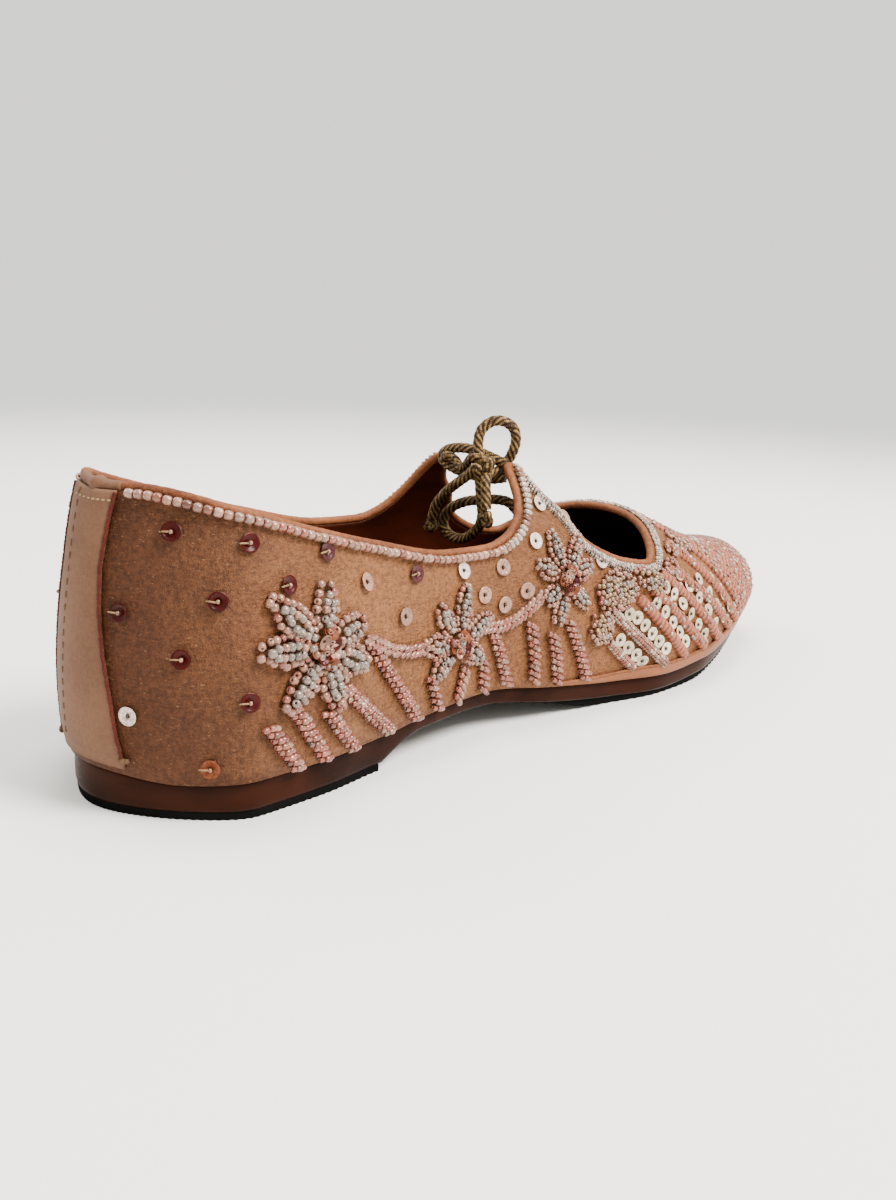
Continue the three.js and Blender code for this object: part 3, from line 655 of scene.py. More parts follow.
# %% [markdown]
# Bindings, cords and rows of beads follow lines. One helper sets points at an even
# spacing, and another draws a smooth curve through a few given points.

# %% Helpers for lines
def resample(points, spacing):
    """Points a given distance apart along a line."""
    points = np.asarray(points, float)
    reach = np.concatenate([[0], np.cumsum(np.linalg.norm(np.diff(points, axis=0), axis=1))])
    count = max(int(round(reach[-1] / spacing)), 2)
    marks = np.linspace(0, reach[-1], count + 1)
    return np.stack([np.interp(marks, reach, points[:, k]) for k in range(points.shape[1])], axis=1)


def resample_both(points, normals, spacing):
    """Points a given distance apart along a line, with the normals between."""
    both = resample(np.hstack([points, normals]), spacing)
    return both[:, :3], unit(both[:, 3:])


def smooth_line(points, count=200):
    """A smooth open line through given points, one of the usual spline formulas."""
    points = np.asarray(points, float)
    ends = np.vstack([2 * points[0] - points[1], points, 2 * points[-1] - points[-2]])
    result = []
    per = max(count // (len(points) - 1), 4)
    for i in range(1, len(ends) - 2):
        a, b, c, d = ends[i - 1], ends[i], ends[i + 1], ends[i + 2]
        for k in np.arange(per) / per:
            result.append(0.5 * (2 * b + (c - a) * k + (2 * a - 5 * b + 4 * c - d) * k**2
                                 + (3 * b - a - 3 * c + d) * k**3))
    result.append(points[-1])
    return np.array(result)


def line_tangents(points, closed=False):
    if closed:
        return unit(np.roll(points, -1, axis=0) - np.roll(points, 1, axis=0))
    return unit(np.gradient(points, axis=0))


print("line helpers ready")

# %% [markdown]
# A tube is a ring of points carried along a line. The directions of the ring are carried
# from point to point without twist, and its radius may change with the angle and the
# distance, which gives ridges, links and strands. The tube's UV map is in millimetres.

# %% Helper for swept tubes
def frames_along(points, guide=(0.0, 0.0, 1.0)):
    """Turning free side directions along a line, for a section that doesn't twist."""
    tangents = line_tangents(points)
    start = np.cross(tangents[0], guide)
    if np.linalg.norm(start) < 0.1:
        start = np.cross(tangents[0], (1.0, 0.0, 0.0))
    sides = [unit(start)]
    for tangent in tangents[1:]:
        carried = sides[-1] - tangent * np.dot(sides[-1], tangent)
        sides.append(unit(carried))
    sides = np.array(sides)
    return tangents, sides, np.cross(tangents, sides)


def swept_tube(name, points, radius_at, sections, materials, closed=False, sides=None, ups=None):
    """A tube whose radius may change with the angle and the distance, in mm."""
    points = np.asarray(points, float)
    if sides is None:
        _, sides, ups = frames_along(points)
    gaps = np.linalg.norm(np.diff(points, axis=0), axis=1)
    reach = np.concatenate([[0], np.cumsum(gaps)])
    angles = np.arange(sections) / sections * 2 * math.pi
    radius = radius_at(angles[None, :], reach[:, None]) * np.ones((len(points), sections))
    ring = (points[:, None, :]
            + sides[:, None, :] * (radius * np.cos(angles))[..., None]
            + ups[:, None, :] * (radius * np.sin(angles))[..., None])
    verts = ring.reshape(-1, 3)
    around = angles[None, :] / (2 * math.pi)
    uvs = np.stack(np.broadcast_arrays(around, reach[:, None]), axis=-1).reshape(-1, 2)
    rows = len(points)
    faces = grid_faces(rows, sections, closed=True, flipped=False)
    if closed:
        last = (rows - 1) * sections
        faces += [(last + j, last + (j + 1) % sections, (j + 1) % sections, j) for j in range(sections)]
    else:
        faces.append(tuple(range(sections))[::-1])
        faces.append(tuple((rows - 1) * sections + j for j in range(sections)))
    return mesh_object(name, verts, faces, materials, uvs=uvs)


print("tube helper ready")

# %% [markdown]
# Cloth pieces other than the satin share one recipe: a base colour with the threads' tone
# and painted shade, blotches of handling and a fine bump. Leather and rubber have their own
# finishes: a glossy burnished edge on the sole, and dull black rubber under it.

# %% Materials: cloths, leather, rubber
def build_cloth(name, color, dark, roughness=0.6, bump_strength=0.4):
    material, tree, shader = new_material(name, roughness, Specular_IOR_Level=0.15)
    place = object_place(tree)
    cloth = use_group(tree, cloth_group, Vector=place, Slub=0.5, Threads=0.7)
    blotch = use_group(tree, blotch_group, Vector=place, Size=60.0)
    # The weave's tone with painted shade in its hollows, and real blotches of handling.
    both = math_node(tree, "ADD", math_node(tree, "MULTIPLY", cloth.outputs["Shade"], 0.6),
                     math_node(tree, "MULTIPLY", blotch.outputs["Mask"], 0.4))
    tree.links.new(ramp(tree, both, [(0.36, dark), (0.6, color)]), shader.inputs["Base Color"])
    bump(tree, shader, cloth.outputs["Height"], bump_strength, 0.0002)
    return material


def build_leather(name, color, dark, roughness, coat, grain):
    material, tree, shader = new_material(name, roughness, Coat_Weight=coat, Coat_Roughness=0.15,
                                          Specular_IOR_Level=0.03)
    place = object_place(tree)
    blotch = use_group(tree, blotch_group, Vector=scaled_vector(tree, place, (1, 1, 3)), Size=45.0)
    uneven = ramp(tree, blotch.outputs["Mask"], [(0.35, dark), (0.66, color)])
    tree.links.new(uneven, shader.inputs["Base Color"])
    fine = noise(tree, scaled_vector(tree, place, (grain, grain, grain * 2.5)), 1.0, 3.0)
    tree.links.new(math_node(tree, "MULTIPLY_ADD", fine, 0.25, roughness - 0.1), shader.inputs["Roughness"])
    bump(tree, shader, fine, 0.2, 0.0002)
    return material


stay_cloth = build_cloth("stay_satin", (0.145, 0.068, 0.037), (0.095, 0.040, 0.022))
binding_silk = build_cloth("binding_silk", (0.23, 0.078, 0.028), (0.06, 0.015, 0.006), 0.6, 1.0)
red_thread = build_cloth("red_chain_thread", (0.075, 0.010, 0.005), (0.030, 0.004, 0.002), 0.6, 0.8)
brown_thread = build_cloth("brown_topstitch", (0.12, 0.06, 0.03), (0.06, 0.03, 0.016))
lining_leather = build_leather("lining_leather", (0.045, 0.008, 0.003), (0.020, 0.004, 0.002), 0.6, 0.0, 900)
sole_leather = build_leather("burnished_sole", (0.024, 0.0060, 0.0022), (0.010, 0.0024, 0.0010),
                             0.32, 0.03, 500)
tread_rubber = build_leather("black_rubber", (0.004, 0.004, 0.004), (0.002, 0.002, 0.002),
                             0.8, 0.0, 1500)
print("cloth and leather materials ready")

# %% [markdown]
# The ridges of the toe are silk thread wound over a core. Slanted stripes on the tube's
# own UV map stand for the turns of the thread: a painted highlight on each turn and painted
# shade between them, with fine flecks to break them up.

# %% Material: wound silk of the toe ridges
def build_wound_silk(name, light, dark, turn_length):
    """Silk wound slantwise round a cord, with stripes of painted highlight and shade on the tube's own UV
    map.
    """
    material, tree, shader = new_material(name, 0.42, Specular_IOR_Level=0.25)
    uv = add_node(tree, "ShaderNodeUVMap", uv_map="UVMap")
    axes = add_node(tree, "ShaderNodeSeparateXYZ")
    tree.links.new(uv.outputs[0], axes.inputs[0])
    around = math_node(tree, "MULTIPLY", axes.outputs["X"], 4 * math.pi)
    wound = math_node(tree, "MULTIPLY_ADD", axes.outputs["Y"], 2 * math.pi / turn_length, around)
    # Stripes of the turns: a painted highlight on each turn and painted shade between them.
    turn_highlight_and_shade = math_node(tree, "MULTIPLY_ADD", math_node(tree, "SINE", wound), 0.25, 0.5)
    fleck = noise(tree, object_place(tree), 1300.0, 3.0, 0.6)
    both = math_node(tree, "MULTIPLY_ADD", turn_highlight_and_shade, 0.5, math_node(tree, "MULTIPLY", fleck, 0.5))
    tree.links.new(ramp(tree, both, [(0.34, dark), (0.62, light)]), shader.inputs["Base Color"])
    bump(tree, shader, both, 0.8, 0.0004)
    return material


# Around the silk's own pink tan, the light colour is a painted highlight on the turns and the dark one is
# painted shade between them.
ridge_silk = build_wound_silk("padded_silk", (0.34, 0.112, 0.062), (0.13, 0.034, 0.016), 1.5)
print("material:", ridge_silk.name)

# %% [markdown]
# The cord is plied from dull gold and brown threads. On its own UV map slanted strands
# wind round the cord, and finer plies cross them the other way. The same rule lifts the
# mesh of the tube and colours it: painted shade in the grooves between strands and a
# painted highlight on their crowns, over the gold and brown of the threads.

# %% Material: braid
braid_turn_length = 9.0
braid_strands = 5


def build_braid():
    material, tree, shader = new_material("gold_brown_braid", 0.45, Specular_IOR_Level=0.1)
    uv = add_node(tree, "ShaderNodeUVMap", uv_map="UVMap")
    axes = add_node(tree, "ShaderNodeSeparateXYZ")
    tree.links.new(uv.outputs[0], axes.inputs[0])
    around = math_node(tree, "MULTIPLY", axes.outputs["X"], math.pi * braid_strands)
    along = math_node(tree, "MULTIPLY", axes.outputs["Y"], math.pi * braid_strands / braid_turn_length)
    strand = math_node(tree, "ABSOLUTE", math_node(tree, "SINE", math_node(tree, "ADD", around, along)))
    crossed = math_node(tree, "MULTIPLY_ADD", along, -3.0, math_node(tree, "MULTIPLY", around, 2.0))
    ply = math_node(tree, "ABSOLUTE", math_node(tree, "SINE", crossed))
    high = math_node(tree, "MULTIPLY_ADD", ply, 0.35, math_node(tree, "MULTIPLY", strand, 0.65))
    place = object_place(tree)
    fleck = noise(tree, place, 900.0, 4.0, 0.7)
    both = math_node(tree, "MULTIPLY_ADD", high, 0.4, math_node(tree, "MULTIPLY", fleck, 0.75))
    # The dark stop is painted shade in the grooves; the light stop is partly the gold of the threads, partly
    # a painted highlight on the strands.
    stops = [(0.40, (0.006, 0.003, 0.0015)), (0.64, (0.038, 0.018, 0.007)), (0.84, (0.34, 0.21, 0.08))]
    tree.links.new(ramp(tree, both, stops), shader.inputs["Base Color"])
    tree.links.new(math_node(tree, "MULTIPLY", math_node(tree, "GREATER_THAN", fleck, 0.58), 0.5),
                   shader.inputs["Metallic"])
    bump(tree, shader, both, 0.6, 0.0003)
    return material


braid = build_braid()
braid_relief = 0.17


def braided_radius(radius):
    def at(angle, reach):
        turn = braid_strands * math.pi / braid_turn_length * reach
        high = np.abs(np.sin(braid_strands * angle / 2 + turn)) ** 0.8
        return radius * (1 - braid_relief * 1.5 + braid_relief * 1.5 * high)
    return at


def braided_cord(name, points, radius, count=260):
    line = resample(smooth_line(points, count), 0.35)
    return swept_tube(name, line, braided_radius(radius), 18, [braid]), line


print("material:", braid.name)

# %% [markdown]
# The bow is drawn as two braided cords. The upper one leaves the knot, runs out in the
# upper loop and comes back as the right end. The lower one starts at the low end of its
# loop, runs up to the knot and goes on as the left end. The routes repeat the points that
# the solids were laid on.

# %% Cords of the bow
tie_diameter = 2.8
bar_points = (
    (117.4, -9.6, 64.4), (116.2, -5.2, 65.8), (115.2, 0.0, 67.0), (114.8, 5.0, 66.8),
    (114.6, 9.0, 65.4), (114.6, 9.4, 62.9), (114.8, 5.0, 61.2), (115.4, 0.0, 60.4),
    (116.4, -5.0, 59.9), (117.6, -9.8, 60.8),
)
wrap_points = (
    (114.4, 9.2, 63.0), (112.9, 6.8, 64.9), (113.6, 4.2, 64.0), (113.0, 1.4, 62.2),
    (112.2, -1.2, 63.6), (111.2, -3.6, 65.6), (111.6, -6.2, 65.9), (113.2, -8.6, 64.4),
)
knot_centre = (112.6, -6.6, 63.4)
upper_loop_points = (
    (112.4, -5.4, 66.6), (112.6, -4.6, 69.4), (113.8, -4.4, 72.6), (115.8, -6.0, 74.8),
    (118.0, -8.0, 75.0), (120.0, -9.6, 73.4), (120.9, -10.0, 70.6), (120.8, -9.4, 67.6),
    (120.0, -8.2, 64.6),
)
lower_loop_points = (
    (111.8, -6.4, 60.2), (111.6, -7.2, 55.6), (112.0, -7.6, 51.6), (112.8, -6.0, 48.2),
    (113.6, -2.6, 45.2), (114.2, 1.6, 43.3), (114.6, 6.0, 43.4), (114.8, 8.8, 45.6),
    (115.2, 8.4, 48.8), (115.8, 6.0, 51.2), (116.4, 2.0, 53.0), (117.0, -2.6, 54.0),
    (117.4, -7.6, 54.8), (117.6, -11.6, 54.6), (118.0, -14.2, 52.6),
)
left_end_points = (
    (111.0, -3.2, 61.2), (111.0, 0.6, 58.6), (111.4, 5.0, 55.4), (111.8, 8.6, 51.8),
    (112.0, 10.4, 47.8),
)
right_end_points = ((110.6, -9.6, 60.4), (109.8, -10.6, 57.0), (109.4, -11.2, 53.6))
upper_link = ((116.6, -8.2, 62.4), (112.6, -8.4, 61.9))
lower_link = ((110.6, -6.4, 63.6),)
upper_start = ((113.0, -7.0, 63.0),)
print("routes of the bow set")

# %% [markdown]
# A knot this small is read by its outline alone. A trefoil is the simplest closed line
# that is really knotted, so each knot is one trefoil swept with the same strands.

# %% Knots of the bow
def knot_line(centre, size, tilt, count=120):
    """A trefoil, the simplest real knot, as a closed line."""
    t = np.arange(count) / count * 2 * math.pi
    across = np.sin(t) + 2 * np.sin(2 * t)
    along = np.cos(t) - 2 * np.cos(2 * t)
    line = np.stack([np.sin(3 * t) * 0.8, across, along], axis=1)
    turn = np.array(Matrix.Rotation(math.radians(tilt), 3, "X"))
    return line * size / 3 @ turn.T + np.array(centre)


def braided_knot(name, centre, size, radius, tilt=0.0):
    line = knot_line(centre, size, tilt)
    tangents = line_tangents(line, closed=True)
    away = unit(line - np.array(centre))
    sides = unit(np.cross(tangents, away))
    knot = swept_tube(name, line, braided_radius(radius), 12, [braid], closed=True,
                      sides=sides, ups=np.cross(tangents, sides))
    file_piece(knot, "braid")
    return knot


bow_knot = braided_knot("bow_knot", knot_centre, 2.9, 1.25)
left_knot = braided_knot("left_end_knot", (112.2, 10.8, 45.6), 1.5, 0.95, 40)
right_knot = braided_knot("right_end_knot", (109.2, -11.6, 51.3), 1.5, 0.95, -30)
print("knots of the bow made")

# %% [markdown]
# Each half of the bow is swept along its route. The bar between the ears is a cord too,
# but it is held at both ends.

# %% Free cords of the bow
def bow_cord(name, points, replaced):
    item, line = braided_cord(name, points, tie_diameter / 2)
    file_piece(item, "braid", *replaced)


bow_cord("bow_cord_upper", upper_start + upper_loop_points + upper_link + right_end_points,
         ["tie_loop_upper", "tie_end_right", "tie_end_knot_right"])
bow_cord("bow_cord_lower", lower_loop_points[::-1] + lower_link + left_end_points,
         ["tie_loop_lower", "tie_end_left", "tie_end_knot_left", "tie_knot"])
bar, _ = braided_cord("tie_bar_braid", bar_points, tie_diameter / 2)
file_piece(bar, "braid", "tie_bar")
wrap, _ = braided_cord("tie_bar_wrap", wrap_points, tie_diameter * 0.42)
file_piece(wrap, "braid")

# %% [markdown]
# The upper is one wall: satin outside, leather inside, with the toe closed in front of
# the throat. Columns of points run round the shoe, close together at the ears where the
# topline turns sharply. Columns on both sides meet on the top line in front of the
# throat. Shallow creases are pressed in where such a shoe bends and where the ear folds.

# %% Upper
upper_rows = 44
ear_start_x = 98.0
ear_end_x = 148.0
ears_spacing = 0.7


def upper_stations():
    heel = x_of_turn(np.linspace(0, 0.25, 26))[:-1]
    quarter = np.linspace(x_of_turn(0.25), ear_start_x, 34)[:-1]
    ears = np.arange(ear_start_x, ear_end_x, ears_spacing)
    throat = throat_x - (throat_x - ear_end_x) * (1 - np.linspace(0, 1, 24)) ** 1.8
    toe = shoe_length - (shoe_length - throat_x) * (1 - np.sin(np.linspace(0, math.pi / 2, 40)))
    return np.concatenate([heel, quarter, ears, throat, toe[1:]])


crease_columns = ("side", "x", "low", "high", "depth", "width", "lean")
creases = (
    (-1, 152.0, 8.0, 30.0, 0.35, 5.0, 0.35),
    (-1, 64.0, 20.0, 52.0, 0.25, 7.0, -0.15),
    (-1, 106.0, 12.0, 50.0, 0.30, 6.0, 0.20),
    (1, 150.0, 8.0, 32.0, 0.35, 5.0, 0.35),
    (1, 70.0, 18.0, 50.0, 0.25, 7.0, -0.15),
    (1, 104.0, 12.0, 48.0, 0.30, 6.0, 0.20),
)
print("stations of the upper set")

# %% [markdown]
# Each crease is a shallow dent, long up the side and narrow along the shoe, with a slight
# lean. It fades out at its ends, so the cloth looks pulled and not cut.

# %% Upper: creases
def crease_depth(point, side):
    depth = np.zeros(len(point))
    for row in creases:
        place = dict(zip(crease_columns, row))
        middle = (place["low"] + place["high"]) / 2
        half = (place["high"] - place["low"]) / 2
        across = (point[:, 0] - place["x"] - place["lean"] * (point[:, 2] - middle)) / place["width"]
        along = (point[:, 2] - middle) / half
        amount = np.exp(-across**2 * 2) * np.maximum(1 - along**2, 0)
        depth += np.where(side == place["side"], amount * place["depth"], 0)
    return depth


print("creases ready")

# %% [markdown]
# The outside and the inside are two grids of the same points, one wall apart. They are
# joined along the lower edge and along the rim, and the two sides meet on the top line.

# %% Upper: the wall
def build_upper():
    xs = upper_stations()
    sides = np.concatenate([-np.ones(len(xs) - 1), np.ones(len(xs) - 1)])
    stations = np.concatenate([xs[:0:-1], xs[:-1]])
    rim = np.concatenate([rise_at_rim(-1, xs)[:0:-1], rise_at_rim(1, xs)[:-1]])
    columns = len(stations)
    share = np.linspace(0, 1, upper_rows)[:, None]
    rises = (share * rim[None, :]).ravel()
    side_list, x_list = np.tile(sides, upper_rows), np.tile(stations, upper_rows)
    point, normal = surface(side_list, x_list, rises)
    skirt = np.arange(columns)
    normal[skirt, 2] = 0
    normal[skirt] = unit(normal[skirt])
    depth = crease_depth(point, side_list)[:, None]
    outer = point - normal * depth
    inner = point - normal * (wall + depth)
    count = len(outer)
    faces = grid_faces(upper_rows, columns, closed=True, flipped=True)
    inner_faces = grid_faces(upper_rows, columns, closed=True, first=count)
    edge = []
    top = (upper_rows - 1) * columns
    for j in range(columns):
        k = (j + 1) % columns
        edge.append((j, k, count + k, count + j))
        if rim[j] < 1 or rim[k] < 1:
            edge.append((top + j, count + top + j, count + top + k, top + k))
    kinds = [0] * len(faces) + [1] * len(inner_faces) + [0] * len(edge)
    item = mesh_object("satin_upper", np.vstack([outer, inner]), faces + inner_faces + edge,
                       [satin, lining_leather], kinds)
    weld(item, 1e-6, False)
    file_piece(item, "satin", "upper")
    return item


upper = build_upper()
print("upper faces:", len(upper.data.polygons))

# %% [markdown]
# The binding is a strip of silk rolled over the raw edge. It follows the topline all the
# way round the opening, so the topline is worked out once as a closed line with the
# directions out of the surface and down into it, which the bead rows use as well.

# %% Topline and binding
def topline_side(side):
    xs = np.concatenate([x_of_turn(np.linspace(0, 0.25, 40)), np.arange(34.5, ear_start_x, 0.8),
                         np.arange(ear_start_x, throat_x - 2, 0.12),
                         throat_x - np.linspace(2, 0, 60) ** 2 / 2])
    xs = np.unique(xs)
    xs = xs[xs <= throat_x]
    return surface(side, xs, rise_at_rim(side, xs))


def topline(side, spacing):
    """Points, tangents, outward normals and inward directions of one side, heel to throat."""
    point, normal = topline_side(side)
    place, out = resample_both(point, normal, spacing)
    tangents = line_tangents(place)
    into = unit(np.cross(out, tangents)) * side
    return place, tangents, out, into


binding_radius = 0.95
gap = 0.3


def build_binding():
    medial, lateral = topline(-1, 0.7), topline(1, 0.7)
    place = np.vstack([medial[0][::-1], lateral[0][1:-1]])
    out = np.vstack([medial[2][::-1], lateral[2][1:-1]])
    middle = place - out * wall / 2
    for _ in range(2):
        middle = (np.roll(middle, 1, axis=0) + 2 * middle + np.roll(middle, -1, axis=0)) / 4
    tangents = line_tangents(middle, closed=True)
    away = unit(np.cross(tangents, out))
    centre = middle + away * (binding_radius - 0.1)

    def radius_at(angle, reach):
        return binding_radius * (1.12 + 0.06 * np.sin(reach * 2.6) * np.sin(angle * 2 + reach * 0.9))

    item = swept_tube("topline_binding_silk", centre, radius_at, 12, [binding_silk], closed=True,
                      sides=out, ups=away)
    file_piece(item, "binding", "topline_binding")
    print("binding points:", len(centre))


build_binding()

# %% [markdown]
# The heel stay covers the back seam with a plain strip, narrowest in its upper half. The
# toe band is a plain satin strip round the forefoot, between the beading and the sole.
# Both are thin panels between two lifts off the last, so they follow every curve of it.

# %% Heel stay and toe band
stay_thickness = 0.8
stay_shares = (0.0, 0.06, 0.19, 0.31, 0.46, 0.63, 0.83, 1.0)
stay_half_widths = (11.0, 9.9, 8.7, 7.5, 6.6, 6.2, 7.0, 8.0)
far_half_wider = 1.25
fold_half_length = 8.4
fold_lump_at = 8.0
band_thickness = 0.6
band_height = 3.5
lowest_rise = 0.004


def panel(name, turns, rises, low_lift, high_lift, materials, smooth_edge=2):
    """A panel from grids of turns and rises, with its edges rounded down."""
    rows, columns = turns.shape
    point, normal = surface(*side_and_x(turns), rises)
    lift = np.full((rows, columns), high_lift)
    row_edge = np.minimum(np.arange(rows), np.arange(rows)[::-1])
    column_edge = np.minimum(np.arange(columns), np.arange(columns)[::-1])
    edge = np.minimum.outer(row_edge, column_edge)
    lift -= np.where(edge < smooth_edge, (high_lift - low_lift) * 0.35 * (1 - edge / smooth_edge), 0)
    outer = point + normal * lift[..., None]
    inner = point + normal * low_lift
    count = rows * columns
    loop = list(range(columns - 1)) + [(i + 1) * columns - 1 for i in range(rows - 1)]
    loop += [(rows - 1) * columns + j for j in range(columns - 1, 0, -1)]
    loop += [i * columns for i in range(rows - 1, 0, -1)]
    faces = grid_faces(rows, columns) + grid_faces(rows, columns, first=count, flipped=True)
    for a, b in zip(loop, loop[1:] + loop[:1]):
        faces.append((b, a, count + a, count + b))
    return mesh_object(name, np.vstack([outer.reshape(-1, 3), inner.reshape(-1, 3)]), faces, materials)


print("panel helper ready")

# %% [markdown]
# The stay's half width is given at eight heights, as measured across the back of the
# heel, and turned into turns round the last. Its top end follows the rim.

# %% Heel stay
def turn_of_half_width(width):
    turns = np.linspace(0, 0.3, 3000)
    return np.interp(width, half_width(-1.0, x_of_turn(turns)), turns)


def stay_half_turn(share):
    return turn_of_half_width(np.interp(share, stay_shares, stay_half_widths))


def stay_place(share, across):
    """The turn and rise of a place on the stay: share up it, and -1 to 1 across it."""
    turns = stay_half_turn(share) * across * np.where(across > 0, far_half_wider, 1)
    side, x = side_and_x(turns)
    rim = last_point(side, x, rise_at_rim(side, x))[..., 2]
    top = rise_at_height(side, x, rim - 0.2)
    return turns, lowest_rise + (top - lowest_rise) * share


def build_stay():
    share, across = np.meshgrid(np.linspace(0, 1, 50), np.linspace(-1, 1, 31), indexing="ij")
    turns, rises = stay_place(share, across)
    item = panel("heel_stay_satin", turns, rises, 0.05, gap + stay_thickness, [stay_cloth])
    file_piece(item, "stay_cloth", "heel_stay")


print("stay helper ready")

# %% [markdown]
# At the collar the strip is turned over the edge and sewn down, which leaves a small
# uneven lump. A swept tube with a swollen part gives that with few points.

# %% Fold of the stay
def fold_radius(angle, reach):
    lump = 0.8 * np.exp(-(((reach - fold_lump_at) / 1.6) ** 2))
    return binding_radius * (1.3 + lump + 0.10 * np.sin(reach * 1.9) * np.sin(angle * 2 + reach))


def build_stay_fold():
    """The upper end of the stay, folded over the collar between its two seams."""
    far, near = topline(1, 0.5), topline(-1, 0.5)
    kept = int(fold_half_length / 0.5)
    place = np.vstack([far[0][kept:0:-1], near[0][:kept]])
    out = np.vstack([far[2][kept:0:-1], near[2][:kept]])
    middle = place - out * wall / 2
    away = unit(np.cross(out, line_tangents(middle)))
    fold = swept_tube("stay_fold", middle + away * (binding_radius - 0.2), fold_radius, 14, [stay_cloth],
                      sides=out, ups=away)
    file_piece(fold, "stay_cloth")


print("fold helper ready")

# %% [markdown]
# The band grows out of the sole's edge at the waist and runs round the toe at one height.

# %% Toe band
def build_band():
    start = float(turn_of_x(0.5 * shoe_length))
    lateral = np.linspace(start, 1, 150)
    turns = np.concatenate([lateral, -lateral[-2::-1]])
    side, x = side_and_x(turns)
    from_end = np.minimum((np.abs(turns) - start) / 0.08, 1)
    height = band_height * (0.35 + 0.65 * from_end)
    top = rise_at_height(side, x, edge_height(x) + height)
    share = np.linspace(0, 1, 9)[:, None]
    rises = lowest_rise + (top - lowest_rise)[None, :] * share
    item = panel("toe_band_satin", np.tile(turns, (9, 1)), rises, 0.05, gap + band_thickness, [band_satin])
    file_piece(item, "satin", "toe_band")
    point, normal = surface(side, x, top)
    return point, normal


band_satin = build_cloth("band_satin", (0.22, 0.075, 0.030), (0.15, 0.048, 0.019), 0.45)
build_stay()
build_stay_fold()
band_top, band_out = build_band()
print("stay and band made")

# %% [markdown]
# The sole is cut leather with a burnished edge: thin at the forefoot, with one low heel
# lift, and a rubber tread under heel and forefoot. The slices of the solids are repeated
# here more closely, with the edge rounded. Fine teeth are cut round the treads.

# %% Sole
sole_edge_thickness = 3.3
forefoot_extra = 1.2
heel_tread_thickness = 1.7
forefoot_tread_thickness = 3.0
tread_inset = 1.2
forefoot_inset = 1.8
insole_thickness = 1.8
insole_clearance = 0.5
heel_block_length = 62.0
heel_breast_length = 14.0
arch_start = heel_block_length + heel_breast_length
forefoot_tread_start = 118.0
arch_length = 50.0
tread_ramp_length = 14.0


def outsole_bottom(x):
    deeper = forefoot_extra * np.clip((x - arch_start) / arch_length, 0, 1)
    thin = edge_height(x) - sole_edge_thickness - deeper
    share = np.clip((x - heel_block_length) / heel_breast_length, 0, 1)
    lowest = heel_tread_thickness + gap
    return lowest + (thin - lowest) * (1 - (1 - share) ** 2)


def tread_bottom(x):
    grown = np.clip((x - forefoot_tread_start) / tread_ramp_length, 0.1, 1)
    thickness = (forefoot_tread_thickness - forefoot_extra) * grown
    return np.maximum(outsole_bottom(x) - gap - thickness, 0)


def sole_outline(xs, inset):
    """The sole's edge on both sides, in from the last by the inset."""
    spread = (xs - inset) * shoe_length / (shoe_length - 2 * inset)
    medial = -half_width(-1.0, spread) * (1 - inset / medial_width(xs))
    lateral = half_width(1.0, spread) * (1 - inset / lateral_width(xs))
    return medial, lateral


print("outlines of the sole set")

# %% [markdown]
# Every layer of the sole is a stack of rings, each ring a little further in at the top
# and the bottom, so that the cut edge is rounded. Teeth move every second point inward.

# %% Sole: one body from slices
def sliced_body(name, xs, inset, top_at, bottom_at, material, slot, node, teeth=0.0, round_edge=0.35):
    """A closed body from slices: a rounded side wall between a top and an underside."""
    levels = ((0.0, round_edge), (0.12, 0.08), (0.5, 0.0), (0.88, 0.08), (1.0, round_edge))
    medial, lateral = sole_outline(xs, inset)
    loop_x = np.concatenate([xs[::-1], xs[1:-1]])
    loop_y = np.concatenate([medial[::-1], lateral[1:-1]])
    edge = np.stack([loop_x, loop_y], axis=1)
    out = np.roll(edge, -1, axis=0) - np.roll(edge, 1, axis=0)
    out = np.stack([out[:, 1], -out[:, 0]], axis=1)
    out /= np.linalg.norm(out, axis=1, keepdims=True) + 1e-9
    middle = np.array([edge[:, 0].mean(), 0.0])
    if np.sum(np.sum(out * (edge - middle), axis=1)) < 0:
        out = -out
    ripple = teeth * (np.arange(len(edge)) % 2)
    rings = []
    for share, inward in levels:
        z = bottom_at(loop_x) * (1 - share) + top_at(loop_x) * share
        place = edge - out * (inward + ripple[:, None] * (1 - share))
        rings.append(np.column_stack([place, z]))
    count = len(edge)
    verts = np.vstack(rings)
    faces = grid_faces(len(levels), count, closed=True, flipped=False)
    half = len(xs)
    for ring, flipped in ((0, False), (len(levels) - 1, True)):
        first = ring * count
        for i in range(half - 1):
            a, b = first + i, first + i + 1
            c = first + (count - i - 1) % count if i + 1 < half - 1 else first + half - 1
            d = first + (count - i) % count
            face = [a, b, c, d] if len({a, b, c, d}) == 4 else list(dict.fromkeys([a, b, c, d]))
            if len(face) >= 3:
                faces.append(tuple(face[::-1]) if flipped else tuple(face))
    item = mesh_object(name, verts, faces, [material])
    weld(item, 1e-7, True)
    for polygon in item.data.polygons:
        polygon.use_smooth = abs(polygon.normal.z) < 0.7
    file_piece(item, slot, node)
    return item


print("slicing helper ready")

# %% [markdown]
# Slices stand closer together where an outline turns fast, at the heel and the toe.
# Outsole, two treads and insole are made in the same way and differ in their sizes only.

# %% Sole: the four layers
def eased(start, end, steps, round_start, round_end):
    share = np.linspace(0, 1, steps)
    if round_start and round_end:
        share = (1 - np.cos(math.pi * share)) / 2
    elif round_start:
        share = 1 - np.cos(math.pi / 2 * share)
    elif round_end:
        share = np.sin(math.pi / 2 * share)
    return start + (end - start) * share


